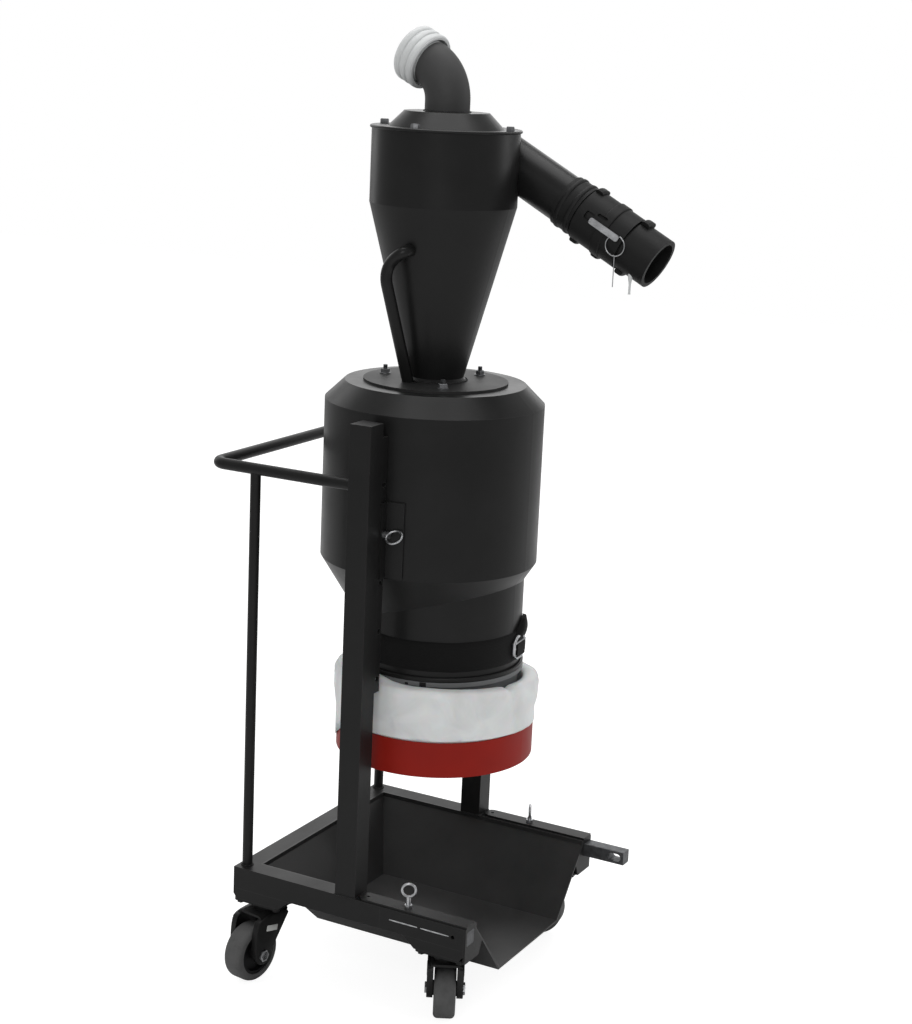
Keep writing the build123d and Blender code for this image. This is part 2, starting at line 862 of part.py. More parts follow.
# Trolley frame: two side beams, a rear beam and the bar guides in line with them
with BuildPart() as side_beams:
    for side in (-1, 1):
        with BuildSketch(across(-frame_rear)):
            with Locations((side * beam_line, frame_top - beam_height / 2)):
                Rectangle(beam_width, beam_height)
                Rectangle(beam_width - 2 * beam_wall, beam_height - 2 * beam_wall, mode=Mode.SUBTRACT)
        extrude(amount=frame_rear + guide_start)
keep("side_beams", side_beams.part)

with BuildPart() as rear_beam:
    with BuildSketch(Plane.XZ.offset(-beam_inner)):
        with Locations((drum_x - frame_rear + beam_width / 2, frame_top - beam_height / 2)):
            Rectangle(beam_width, beam_height)
            Rectangle(beam_width - 2 * beam_wall, beam_height - 2 * beam_wall, mode=Mode.SUBTRACT)
    extrude(amount=2 * beam_inner)
keep("rear_beam", rear_beam.part)

end_plate_start = frame_front - end_plate_thickness
bar_bore = bar_size + 2 * bar_clearance
slots_end = end_plate_start - slot_end_margin - 3 * slot_hole_radius
slot_length = (slots_end - slot_gap - slot_margin - guide_start) / 2
slot_middle = guide_start + slot_margin + slot_length / 2
eye_place = guide_start + eye_offset
with BuildPart() as bar_guides:
    for side in (-1, 1):
        with BuildSketch(across(guide_start)):
            with Locations((side * beam_line, frame_top - beam_height / 2)):
                Rectangle(beam_width, beam_height)
            with Locations((side * beam_line, bar_height)):
                Rectangle(bar_bore, bar_bore, mode=Mode.SUBTRACT)
        extrude(amount=end_plate_start - guide_start)
        with BuildSketch(Plane.XZ.offset(-side * beam_line)):
            for step in (0, 1):
                with Locations((drum_x + slot_middle + step * (slot_length + slot_gap), bar_height)):
                    Rectangle(slot_length, slot_height)
            with Locations((drum_x + slots_end + 2 * slot_hole_radius, bar_height)):
                Circle(slot_hole_radius)
        extrude(amount=-side * beam_width, mode=Mode.SUBTRACT)
        with BuildSketch(level(bar_height)):
            with Locations((eye_place, side * beam_line)):
                Circle(eye_shank_radius)
        extrude(amount=beam_height, mode=Mode.SUBTRACT)
keep("bar_guides", bar_guides.part)

guide_plate_width = beam_width - 2 * guide_plate_inset
guide_plate_start = post_size / 2 + guide_plate_gap
with BuildPart() as guide_plates:
    for side in (-1, 1):
        with BuildSketch(level(frame_top)):
            plate_round = guide_plate_width / 2
            with Locations(((guide_plate_start + plate_round + frame_front) / 2, side * beam_line)):
                Rectangle(frame_front - guide_plate_start - plate_round, guide_plate_width)
            with Locations((guide_plate_start + plate_round, side * beam_line)):
                Circle(plate_round)
                Circle(guide_plate_hole_radius, mode=Mode.SUBTRACT)
            with Locations((eye_place, side * beam_line)):
                Circle(eye_shank_radius, mode=Mode.SUBTRACT)
        extrude(amount=guide_plate_height)
keep("guide_plates", guide_plates.part)

# Tray: one folded sheet between the beams
lip_bottom = frame_top - tray_lip
tray_floor_height = frame_top - tray_depth
tray_under = tray_floor_height - tray_sheet
tray_rear = frame_rear - beam_width
tray_floor_half = beam_inner - tray_side_width
tray_floor_rear = tray_rear - tray_rear_width


def tray_sketch(height, rear, half, front):
    """Rectangle of the tray at a height, from its rear to its open front."""
    with BuildSketch(level(height)) as outline:
        with Locations(((front - rear) / 2, 0)):
            Rectangle(rear + front, 2 * half)
    return outline.sketch


with BuildPart() as tray:
    add(tray_sketch(lip_bottom, tray_rear, beam_inner, frame_front))
    extrude(amount=tray_lip)
    add(tray_sketch(tray_under, tray_floor_rear + tray_sheet, tray_floor_half + tray_sheet, frame_front))
    add(tray_sketch(lip_bottom, tray_rear, beam_inner, frame_front))
    loft()
    add(tray_sketch(lip_bottom, tray_rear - tray_sheet, beam_inner - tray_sheet, frame_front + overrun))
    extrude(amount=tray_lip, mode=Mode.SUBTRACT)
    add(tray_sketch(tray_floor_height, tray_floor_rear, tray_floor_half, frame_front + overrun))
    add(tray_sketch(lip_bottom, tray_rear - tray_sheet, beam_inner - tray_sheet, frame_front + overrun))
    loft(mode=Mode.SUBTRACT)
keep("tray", tray.part)

# End plates that close the guides and the brackets beside the tray
bracket_bottom = caster_total_height
plate_under = caster_total_height - caster_plate_thickness
wall_lean = (beam_inner - tray_floor_half - tray_sheet) / (lip_bottom - tray_under)
knee_half = tray_floor_half + tray_sheet + wall_lean * (beam_bottom - tray_under)
with BuildPart() as end_plates:
    for side in (-1, 1):
        with BuildSketch(across(end_plate_start)):
            with BuildLine():
                Polyline(
                    (side * frame_half_width, plate_under),
                    (side * (frame_half_width - bracket_width), plate_under),
                    (side * knee_half, beam_bottom),
                    (side * beam_inner, lip_bottom),
                    (side * beam_inner, frame_top),
                    (side * frame_half_width, frame_top),
                    close=True,
                )
            make_face()
            with Locations((side * beam_line, bar_height)):
                Rectangle(bar_bore, bar_bore, mode=Mode.SUBTRACT)
        extrude(amount=end_plate_thickness)
keep("end_plates", end_plates.part)

# Docking bars: the near one pushed in, the far one drawn out


def docking_bar(side, extension):
    """Square bar with a long cross hole near its outer end."""
    tip = frame_front + extension
    with BuildPart() as bar:
        with BuildSketch(across(tip - bar_length)):
            with Locations((side * beam_line, bar_height)):
                RectangleRounded(bar_size, bar_size, bar_round)
        extrude(amount=bar_length)
        with BuildSketch(Plane.XZ.offset(-side * beam_line)):
            with Locations((drum_x + tip - bar_hole_margin - bar_hole_length / 2, bar_height)):
                RectangleRounded(bar_hole_length, bar_hole_height, bar_hole_round)
        extrude(amount=bar_size, both=True, mode=Mode.SUBTRACT)
    return bar.part


keep("near_bar", docking_bar(-1, 0))
keep("far_bar", docking_bar(1, bar_rest_extension))

# Eye screws that hold the bars
guide_plate_top = frame_top + guide_plate_height
bar_top = bar_height + bar_size / 2
eye_spots = (
    (-1, frame_top + eye_near_rise, eye_near_azimuth),
    (1, frame_top + eye_far_rise, eye_far_azimuth),
)
with BuildPart() as eye_screws:
    for side, eye_height, azimuth in eye_spots:
        with BuildSketch(level(bar_top + bar_clearance)):
            with Locations((eye_place, side * beam_line)):
                Circle(eye_shank_radius)
        extrude(amount=eye_height - eye_radius + eye_wire / 2 - bar_top - bar_clearance)
        with BuildSketch(level(guide_plate_top)):
            with Locations((eye_place, side * beam_line)):
                Circle(eye_collar_radius)
        extrude(amount=eye_collar_height)
        eye_side = upright(drum_x + eye_place, side * beam_line, azimuth)
        eye_axis = Axis(eye_side.from_local_coords((0, eye_height, 0)), eye_side.z_dir)
        with BuildSketch(Plane(eye_side.origin, x_dir=eye_side.z_dir, z_dir=-eye_side.x_dir)):
            with Locations((0, eye_height + eye_radius)):
                Circle(eye_wire)
        revolve(axis=eye_axis)
keep("eye_screws", eye_screws.part)

# Posts with closed tops
with BuildPart() as posts:
    with BuildSketch(level(frame_top)):
        with Locations((0, -post_line), (0, post_line)):
            Rectangle(post_size, post_size)
    extrude(amount=post_top - frame_top)
    with BuildSketch(level(frame_top)):
        with Locations((0, -post_line), (0, post_line)):
            Rectangle(post_size - 2 * post_wall, post_size - 2 * post_wall)
    extrude(amount=post_top - post_wall - frame_top, mode=Mode.SUBTRACT)
keep("posts", posts.part)

# Hole rails welded along the posts
rail_line = post_inner - rail_width / 2
first_hole = rail_bottom + rail_hole_margin
with BuildPart() as hole_rails:
    for side in (-1, 1):
        with BuildSketch(across(rail_front - rail_thickness)):
            with Locations((side * rail_line, (rail_bottom + rail_top) / 2)):
                Rectangle(rail_width, rail_top - rail_bottom)
            for hole in range(rail_hole_count):
                with Locations((side * rail_line, first_hole + hole * rail_hole_pitch)):
                    Circle(rail_hole_radius, mode=Mode.SUBTRACT)
        extrude(amount=rail_thickness)
keep("hole_rails", hole_rails.part)

# Saddles on the drum, with the cheek that is pinned to the rail
cheek_front = rail_front + cheek_thickness
saddle_outer = drum_radius + saddle_thickness
saddle_start = degrees(asin(rail_front / drum_radius))
with BuildPart() as drum_saddles:
    for side in (-1, 1):
        start = -quarter_turn + saddle_start if side < 0 else quarter_turn - saddle_start - saddle_angle
        with BuildSketch(upright(drum_x, 0, start)):
            with Locations(((drum_radius + saddle_outer) / 2, (saddle_bottom + saddle_top) / 2)):
                Rectangle(saddle_thickness, saddle_top - saddle_bottom)
        revolve(axis=drum_axis, revolution_arc=saddle_angle)
        with BuildSketch(across(rail_front)):
            cheek_inner = drum_radius - cheek_depth
            with Locations((side * (cheek_inner + post_inner) / 2, (saddle_bottom + saddle_top) / 2)):
                Rectangle(post_inner - cheek_inner, saddle_top - saddle_bottom)
            with Locations((side * rail_line, pin_height)):
                Circle(pin_radius, mode=Mode.SUBTRACT)
        extrude(amount=cheek_thickness)
    with BuildSketch(level(saddle_bottom)):
        Circle(drum_radius)
    extrude(amount=saddle_top - saddle_bottom, mode=Mode.SUBTRACT)
keep("drum_saddles", drum_saddles.part)

# Pins with split rings
pin_back = rail_front - rail_thickness - pin_end_length
pin_front = cheek_front + pin_head_length
lean = radians(pin_ring_angle)
with BuildPart() as rail_pins:
    for side in (-1, 1):
        with BuildSketch(across(pin_back)):
            with Locations((side * rail_line, pin_height)):
                Circle(pin_radius)
        extrude(amount=pin_front - pin_back)
        with BuildSketch(across(cheek_front)):
            with Locations((side * rail_line, pin_height)):
                Circle(pin_head_radius)
        extrude(amount=pin_head_length)
        ring_middle = Vector(
            drum_x + pin_front + pin_ring_radius - pin_ring_wire,
            side * (rail_line + pin_ring_shift),
            pin_height,
        )
        ring_plane = Plane(ring_middle, x_dir=(1, 0, 0), z_dir=(0, side * sin(lean), cos(lean)))
        with BuildSketch(Plane(ring_middle, x_dir=(1, 0, 0), z_dir=ring_plane.y_dir)):
            with Locations((pin_ring_radius, 0)):
                Circle(pin_ring_wire)
        revolve(axis=Axis(ring_middle, ring_plane.z_dir))
keep("rail_pins", rail_pins.part)

# Push handle: one tube bent into a U, welded to the backs of the posts
handle_line = beam_line - handle_inset
handle_end = handle_reach - handle_tube_radius
with BuildPart() as push_handle:
    with BuildLine(level(handle_height)) as handle_path:
        Polyline(
            (-post_size / 2, -handle_line),
            (-handle_end, -handle_line),
            (-handle_end, handle_line),
            (-post_size / 2, handle_line),
        )
        fillet(handle_path.vertices().group_by(Axis.X)[0], handle_corner_radius)
    with BuildSketch(across(-post_size / 2)):
        with Locations((-handle_line, handle_height)):
            Circle(handle_tube_radius)
            Circle(handle_tube_radius - handle_tube_wall, mode=Mode.SUBTRACT)
    sweep(path=handle_path.wires()[0])
keep("push_handle", push_handle.part)

# Rods between the beams and the handle
with BuildPart() as handle_rods:
    with BuildSketch(level(frame_top)):
        with Locations((rod_inset - frame_rear, -handle_line), (rod_inset - frame_rear, handle_line)):
            Circle(rod_radius)
    extrude(amount=handle_height - frame_top)
    with BuildSketch(across(-frame_rear)):
        with Locations((-handle_line, handle_height), (handle_line, handle_height)):
            Circle(handle_tube_radius)
    extrude(amount=frame_rear, mode=Mode.SUBTRACT)
keep("handle_rods", handle_rods.part)

# Folded brackets over the casters, and the casters' top plates
bracket_line = frame_half_width - bracket_width / 2
rear_bracket_middle = -frame_rear + caster_plate_length / 2
front_bracket_middle = end_plate_start - caster_plate_length / 2
caster_spots = [
    (middle, side) for middle in (rear_bracket_middle, front_bracket_middle) for side in (-1, 1)
]
with BuildPart() as caster_brackets:
    for middle, side in caster_spots:
        inward = 1 if middle < 0 else -1
        outer_end = middle - inward * caster_plate_length / 2
        inner_end = middle + inward * caster_plate_length / 2
        for wall, mode in ((0, Mode.ADD), (bracket_wall, Mode.SUBTRACT)):
            with BuildSketch(Plane((drum_x, side * bracket_line, 0), x_dir=(1, 0, 0), z_dir=(0, -1, 0))):
                with BuildLine():
                    Polyline(
                        (outer_end + inward * wall, beam_bottom),
                        (outer_end + inward * wall, bracket_bottom + bracket_cut_height + wall),
                        (outer_end + inward * (bracket_cut_length + wall), bracket_bottom + wall),
                        (inner_end - inward * wall, bracket_bottom + wall),
                        (inner_end + inward * (bracket_slope_length - 2 * wall), beam_bottom),
                        close=True,
                    )
                make_face()
            extrude(amount=bracket_width / 2 - wall, both=True, mode=mode)
keep("caster_brackets", caster_brackets.part)

plate_line = frame_half_width - caster_plate_width / 2
with BuildPart() as caster_plates:
    for middle, side in caster_spots:
        with BuildSketch(level(plate_under)):
            with Locations((middle, side * plate_line)):
                RectangleRounded(caster_plate_length, caster_plate_width, caster_plate_round)
                Circle(kingpin_radius + axle_clearance, mode=Mode.SUBTRACT)
        extrude(amount=caster_plate_thickness)
        with BuildSketch(level(plate_under - caster_bolt_height)):
            with Locations((middle, side * plate_line)):
                with GridLocations(
                    caster_plate_length - 2 * caster_bolt_inset,
                    caster_plate_width - 2 * caster_bolt_inset,
                    2,
                    2,
                ):
                    RegularPolygon(caster_bolt_radius, side_count=6)
        extrude(amount=caster_bolt_height)
keep("caster_plates", caster_plates.part)


def caster(name, middle, side, heading):
    """One swivel caster: fork with kingpin and axle, hub and tyre."""
    turn = radians(heading)
    centre = Vector(drum_x + middle, side * plate_line, 0)
    ahead = Vector(cos(turn), sin(turn), 0)
    ground = Plane(centre, x_dir=ahead, z_dir=(0, 0, 1))
    flank = Plane(centre, x_dir=ahead, z_dir=(sin(turn), -cos(turn), 0))
    section = Plane(centre, x_dir=(-sin(turn), cos(turn), 0), z_dir=ahead)
    axle_point = centre + ahead * trail + Vector(0, 0, wheel_radius)
    spin = Axis(axle_point, flank.z_dir)
    outer_width = fork_gap + 2 * fork_thickness
    leg_height = fork_crown_top - wheel_radius + fork_leg_end
    with BuildPart() as fork:
        with BuildSketch(section):
            with Locations((0, fork_crown_top - leg_height)):
                RectangleRounded(outer_width, 2 * leg_height, fork_round)
                RectangleRounded(
                    fork_gap,
                    2 * (leg_height - fork_thickness),
                    fork_round - fork_thickness,
                    mode=Mode.SUBTRACT,
                )
        extrude(amount=trail + fork_leg_end, both=True)
        with BuildSketch(flank):
            with BuildLine():
                Polyline(
                    (-fork_crown_front, fork_crown_top),
                    (fork_crown_back, fork_crown_top),
                    (fork_crown_back, fork_crown_top - fork_thickness),
                    (trail + fork_leg_end, wheel_radius),
                    (trail - fork_leg_end, wheel_radius),
                    (-fork_crown_front, fork_crown_top - fork_thickness),
                    close=True,
                )
            make_face()
            with Locations((trail, wheel_radius)):
                Circle(fork_leg_end)
        extrude(amount=outer_width, both=True, mode=Mode.INTERSECT)
        with BuildSketch(ground.offset(fork_crown_top)):
            Circle(bearing_radius)
        extrude(amount=plate_under - bearing_gap - fork_crown_top)
        with BuildSketch(ground.offset(fork_crown_top)):
            Circle(kingpin_radius)
        extrude(amount=caster_total_height - bearing_gap - fork_crown_top)
        with BuildSketch(flank):
            with Locations((trail, wheel_radius)):
                Circle(axle_radius)
        extrude(amount=outer_width / 2, both=True)
        for face in (flank.offset(outer_width / 2), flank.offset(-outer_width / 2 - axle_head_length)):
            with BuildSketch(face):
                with Locations((trail, wheel_radius)):
                    RegularPolygon(axle_head_radius, side_count=6)
            extrude(amount=axle_head_length)
    keep(f"{name}_fork", fork.part)

    hub_radius = wheel_radius - tyre_depth
    bore = axle_radius + axle_clearance
    boss_half = fork_gap / 2 - hub_side_gap
    rim_half = tyre_width * hub_width_share / 2
    axle_plane = Plane(axle_point, x_dir=ahead, z_dir=(0, 0, 1))
    with BuildPart() as hub:
        with BuildSketch(axle_plane):
            with BuildLine():
                Polyline(
                    (bore, -boss_half),
                    (hub_boss_radius, -boss_half),
                    (hub_boss_radius, -hub_web / 2),
                    (hub_radius - hub_rim, -hub_web / 2),
                    (hub_radius - hub_rim, -rim_half),
                    (hub_radius, -rim_half),
                    (hub_radius, rim_half),
                    (hub_radius - hub_rim, rim_half),
                    (hub_radius - hub_rim, hub_web / 2),
                    (hub_boss_radius, hub_web / 2),
                    (hub_boss_radius, boss_half),
                    (bore, boss_half),
                    close=True,
                )
            make_face()
        revolve(axis=spin)
    keep(f"{name}_hub", hub.part)
    with BuildPart() as tyre:
        with BuildSketch(axle_plane):
            with Locations((hub_radius, 0)):
                RectangleRounded(2 * tyre_depth, tyre_width, tyre_round)
                Rectangle(2 * tyre_depth, tyre_width, align=(Align.MAX, Align.CENTER), mode=Mode.SUBTRACT)
        revolve(axis=spin)
    keep(f"{name}_tyre", tyre.part)


caster("near_rear", rear_bracket_middle, -1, near_rear_heading)
caster("near_front", front_bracket_middle, -1, near_front_heading)
caster("far_rear", rear_bracket_middle, 1, far_rear_heading)
caster("far_front", front_bracket_middle, 1, far_front_heading)
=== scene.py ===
import math

import bmesh
import bpy
from mathutils import Matrix, Vector, noise


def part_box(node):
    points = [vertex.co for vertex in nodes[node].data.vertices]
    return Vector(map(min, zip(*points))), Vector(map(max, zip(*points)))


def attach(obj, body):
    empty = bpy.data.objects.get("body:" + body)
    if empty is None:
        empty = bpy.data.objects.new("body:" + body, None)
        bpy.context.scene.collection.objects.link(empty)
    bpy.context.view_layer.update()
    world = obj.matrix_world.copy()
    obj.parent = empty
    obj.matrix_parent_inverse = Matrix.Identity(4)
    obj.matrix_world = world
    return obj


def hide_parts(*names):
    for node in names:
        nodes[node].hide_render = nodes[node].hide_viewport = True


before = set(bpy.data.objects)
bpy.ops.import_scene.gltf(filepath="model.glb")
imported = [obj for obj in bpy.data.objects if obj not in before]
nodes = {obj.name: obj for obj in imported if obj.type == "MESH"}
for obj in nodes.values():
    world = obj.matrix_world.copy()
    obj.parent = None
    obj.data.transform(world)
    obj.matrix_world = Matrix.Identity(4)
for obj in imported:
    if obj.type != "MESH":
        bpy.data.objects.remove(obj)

mm = 0.001
upward = Vector((0, 0, 1))
scene = bpy.context.scene
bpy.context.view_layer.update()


def boxOf(node):
    lo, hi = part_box(node)
    return Vector(lo), Vector(hi)


def midOf(node):
    lo, hi = boxOf(node)
    return (lo + hi) / 2


# the two upright axes that most pieces sit on
drumAxis = midOf("drum_top")
neckAxis = midOf("neck_lip")


def around(axis, reach, azimuth, height):
    # a point at a reach and azimuth from an upright axis, in mm and degrees
    angle = math.radians(azimuth)
    return Vector((axis.x + reach * math.cos(angle) * mm, reach * math.sin(angle) * mm, height * mm))


# materials: colours are sRGB hex, pattern sizes are in mm

def linear(hexColour, factor=1.0):
    parts = [int(hexColour[i:i + 2], 16) / 255 for i in (1, 3, 5)]
    values = [p / 12.92 if p <= 0.04045 else ((p + 0.055) / 1.055) ** 2.4 for p in parts]
    return tuple(min(1.0, value * factor) for value in values) + (1.0,)


def grey(value):
    return (value, value, value, 1)


def newMaterial(name, **sockets):
    made = bpy.data.materials.new(name)
    made.use_nodes = True
    shader = made.node_tree.nodes["Principled BSDF"]
    for key, value in sockets.items():
        shader.inputs[key.replace("_", " ")].default_value = value
    return made, made.node_tree, shader


def addNode(tree, kind, settings=None, inputs=None, links=None, stops=()):
    # a link starts at a socket, or at a node's first output; stops are a ramp's places and colours
    made = tree.nodes.new(kind)
    for key, value in (settings or {}).items():
        setattr(made, key, value)
    for key, value in (inputs or {}).items():
        made.inputs[key].default_value = value
    for key, source in (links or {}).items():
        socket = source if isinstance(source, bpy.types.NodeSocket) else source.outputs[0]
        tree.links.new(socket, made.inputs[key])
    if stops:
        elements = made.color_ramp.elements
        while len(elements) < len(stops):
            elements.new(0.5)
        for element, (place, colour) in zip(elements, stops):
            element.position = place
            element.color = colour
    return made


coatValues = {
    "peelSize": 1.4, "peelStrength": 0.1, "peelDepth": 0.1, "cloudSize": 90, "cloudTint": 1.35,
    "scuffSize": 14, "edgeRadius": 1.2, "edgeFrom": 0.86, "edgeTo": 0.995, "smoother": 0.05, "duller": 0.08,
    "dustColour": "#5c5b5a", "dustFrom": 0.55, "dustTo": 0.98, "dustLeast": 0.35,
}


def powderCoat(name, base, worn, roughness, wear, dust, specular=0.2):
    # polyester powder coat baked on steel: satin, orange-peeled, lighter on rubbed edges, dusty on top
    v = coatValues
    made, tree, shader = newMaterial(name, Roughness=roughness, Metallic=0.0, Specular_IOR_Level=specular)
    place = addNode(tree, "ShaderNodeTexCoord").outputs["Object"]
    normal = addNode(tree, "ShaderNodeNewGeometry").outputs["Normal"]
    peel = addNode(tree, "ShaderNodeTexNoise", links={"Vector": place},
                   inputs={"Scale": 1000 / v["peelSize"], "Detail": 2.0})
    cloud = addNode(tree, "ShaderNodeTexNoise", links={"Vector": place},
                    inputs={"Scale": 1000 / v["cloudSize"], "Detail": 5.0, "Roughness": 0.6})
    scuff = addNode(tree, "ShaderNodeTexNoise", links={"Vector": place}, inputs={
        "Scale": 1000 / v["scuffSize"], "Detail": 6.0, "Roughness": 0.7, "Distortion": 1.2})
    # near an edge the bevelled normal leaves the true one: there the coat is rubbed
    bevel = addNode(tree, "ShaderNodeBevel", {"samples": 4}, {"Radius": v["edgeRadius"] * mm})
    dot = addNode(tree, "ShaderNodeVectorMath", {"operation": "DOT_PRODUCT"}, links={0: bevel, 1: normal})
    edge = addNode(tree, "ShaderNodeValToRGB", links={"Fac": dot.outputs["Value"]},
                   stops=[(v["edgeFrom"], grey(1)), (v["edgeTo"], grey(0))])
    edgeWear = addNode(tree, "ShaderNodeMath", {"operation": "MULTIPLY"}, {1: wear}, {0: edge})
    broken = addNode(tree, "ShaderNodeMath", {"operation": "MULTIPLY"}, links={0: edgeWear, 1: scuff})
    shade = addNode(tree, "ShaderNodeValToRGB", links={"Fac": cloud},
                    stops=[(0.3, linear(base)), (0.75, linear(base, v["cloudTint"]))])
    rubbed = addNode(tree, "ShaderNodeMix", {"data_type": "RGBA"}, {7: linear(worn)}, {0: broken, 6: shade})
    facing = addNode(tree, "ShaderNodeSeparateXYZ", links={0: normal})
    facingUp = addNode(tree, "ShaderNodeValToRGB", links={"Fac": facing.outputs["Z"]},
                       stops=[(v["dustFrom"], grey(0)), (v["dustTo"], grey(1))])
    patchy = addNode(tree, "ShaderNodeValToRGB", links={"Fac": scuff},
                     stops=[(0.35, grey(v["dustLeast"])), (0.7, grey(1))])
    amount = addNode(tree, "ShaderNodeMath", {"operation": "MULTIPLY"}, links={0: facingUp, 1: patchy})
    scaled = addNode(tree, "ShaderNodeMath", {"operation": "MULTIPLY"}, {1: dust}, {0: amount})
    dusted = addNode(tree, "ShaderNodeMix", {"data_type": "RGBA"}, {7: linear(v["dustColour"])},
                     {0: scaled, 6: rubbed.outputs[2]})
    tree.links.new(dusted.outputs[2], shader.inputs["Base Color"])
    gloss = addNode(tree, "ShaderNodeValToRGB", links={"Fac": cloud}, stops=[
        (0.25, grey(roughness - v["smoother"])), (0.8, grey(roughness + v["duller"]))])
    tree.links.new(gloss.outputs[0], shader.inputs["Roughness"])
    bump = addNode(tree, "ShaderNodeBump", links={"Height": peel},
                   inputs={"Strength": v["peelStrength"], "Distance": v["peelDepth"] * mm})
    tree.links.new(bump.outputs[0], shader.inputs["Normal"])
    return made


plateValues = {
    "brushed": (40, 900, 900), "plain": (300, 300, 300), "spotSize": 12, "lightTint": 1.15, "darkTint": 0.72,
    "smoother": 0.08, "duller": 0.14, "lineStrength": 0.15, "lineDepth": 0.05,
}


def platedSteel(name, base, roughness=0.3, brushed=True):
    # zinc plate on steel: cool grey, fine drawn lines where it is brushed, dull spots
    v = plateValues
    made, tree, shader = newMaterial(name, Metallic=1.0, Roughness=roughness)
    place = addNode(tree, "ShaderNodeTexCoord").outputs["Object"]
    stretch = addNode(tree, "ShaderNodeMapping", links={"Vector": place},
                      inputs={"Scale": v["brushed"] if brushed else v["plain"]})
    lines = addNode(tree, "ShaderNodeTexNoise", links={"Vector": stretch},
                    inputs={"Scale": 1.0, "Detail": 3.0})
    spots = addNode(tree, "ShaderNodeTexNoise", links={"Vector": place},
                    inputs={"Scale": 1000 / v["spotSize"], "Detail": 4.0})
    tone = addNode(tree, "ShaderNodeValToRGB", links={"Fac": spots},
                   stops=[(0.3, linear(base, v["darkTint"])), (0.65, linear(base, v["lightTint"]))])
    tree.links.new(tone.outputs[0], shader.inputs["Base Color"])
    gloss = addNode(tree, "ShaderNodeValToRGB", links={"Fac": lines}, stops=[
        (0.2, grey(roughness - v["smoother"])), (0.8, grey(roughness + v["duller"]))])
    tree.links.new(gloss.outputs[0], shader.inputs["Roughness"])
    bump = addNode(tree, "ShaderNodeBump", links={"Height": lines},
                   inputs={"Strength": v["lineStrength"], "Distance": v["lineDepth"] * mm})
    tree.links.new(bump.outputs[0], shader.inputs["Normal"])
    return made


mouldValues = {"cloudSize": 60, "cloudTint": 1.18, "duller": 0.1, "grainStrength": 0.25}


def mouldedPlastic(name, base, roughness, grain=0.8, grainDepth=0.08, specular=0.5):
    # injection moulded part: even colour with faint flow marks and a fine spark-eroded grain
    v = mouldValues
    made, tree, shader = newMaterial(name, Roughness=roughness, Specular_IOR_Level=specular)
    place = addNode(tree, "ShaderNodeTexCoord").outputs["Object"]
    cloud = addNode(tree, "ShaderNodeTexNoise", links={"Vector": place},
                    inputs={"Scale": 1000 / v["cloudSize"], "Detail": 4.0})
    fine = addNode(tree, "ShaderNodeTexNoise", links={"Vector": place},
                   inputs={"Scale": 1000 / grain, "Detail": 2.0})
    tone = addNode(tree, "ShaderNodeValToRGB", links={"Fac": cloud},
                   stops=[(0.3, linear(base)), (0.75, linear(base, v["cloudTint"]))])
    tree.links.new(tone.outputs[0], shader.inputs["Base Color"])
    gloss = addNode(tree, "ShaderNodeValToRGB", links={"Fac": cloud},
                    stops=[(0.3, grey(roughness)), (0.7, grey(min(1, roughness + v["duller"])))])
    tree.links.new(gloss.outputs[0], shader.inputs["Roughness"])
    bump = addNode(tree, "ShaderNodeBump", links={"Height": fine},
                   inputs={"Strength": v["grainStrength"], "Distance": grainDepth * mm})
    tree.links.new(bump.outputs[0], shader.inputs["Normal"])
    return made


treadValues = {
    "cloudSize": 25, "grainSize": 1.5, "darkTint": 0.7, "lightTint": 1.2, "strength": 0.3, "depth": 0.12,
}


def tyreRubber(name, base):
    # grey non-marking rubber: matt, with mould bloom and fine scuffs round the tread
    v = treadValues
    made, tree, shader = newMaterial(name, Roughness=0.72, Specular_IOR_Level=0.35)
    place = addNode(tree, "ShaderNodeTexCoord").outputs["Object"]
    cloud = addNode(tree, "ShaderNodeTexNoise", links={"Vector": place},
                    inputs={"Scale": 1000 / v["cloudSize"], "Detail": 6.0, "Roughness": 0.65})
    fine = addNode(tree, "ShaderNodeTexNoise", links={"Vector": place},
                   inputs={"Scale": 1000 / v["grainSize"], "Detail": 4.0})
    tone = addNode(tree, "ShaderNodeValToRGB", links={"Fac": cloud}, stops=[
        (0.25, linear(base, v["darkTint"])), (0.5, linear(base)), (0.8, linear(base, v["lightTint"]))])
    tree.links.new(tone.outputs[0], shader.inputs["Base Color"])
    bump = addNode(tree, "ShaderNodeBump", links={"Height": fine},
                   inputs={"Strength": v["strength"], "Distance": v["depth"] * mm})
    tree.links.new(bump.outputs[0], shader.inputs["Normal"])
    return made


webbingValues = {"warpPitch": 1.2, "weftPitch": 2.64, "lightTint": 1.6, "strength": 0.5, "depth": 0.3}


def wovenStrap(name, base):
    # polyester webbing: threads across and along the strap, drawn coarse enough to show
    v = webbingValues
    made, tree, shader = newMaterial(name, Roughness=0.8, Specular_IOR_Level=0.15, Sheen_Weight=0.04,
                                     Sheen_Roughness=0.5)
    uv = addNode(tree, "ShaderNodeUVMap", {"uv_map": "strap"})
    threads = {}
    for slot, way, pitch, sway in ((0, "X", v["warpPitch"], 0.3), (1, "Y", v["weftPitch"], 0.2)):
        bands = addNode(tree, "ShaderNodeTexWave", {"bands_direction": way},
                        {"Scale": math.pi / 10 / (pitch * mm), "Distortion": sway}, {"Vector": uv})
        threads[slot] = bands.outputs["Fac"]
    woven = addNode(tree, "ShaderNodeMath", {"operation": "MULTIPLY"}, links=threads)
    tone = addNode(tree, "ShaderNodeValToRGB", links={"Fac": woven},
                   stops=[(0.1, linear(base)), (0.9, linear(base, v["lightTint"]))])
    tree.links.new(tone.outputs[0], shader.inputs["Base Color"])
    bump = addNode(tree, "ShaderNodeBump", links={"Height": woven},
                   inputs={"Strength": v["strength"], "Distance": v["depth"] * mm})
    tree.links.new(bump.outputs[0], shader.inputs["Normal"])
    return made


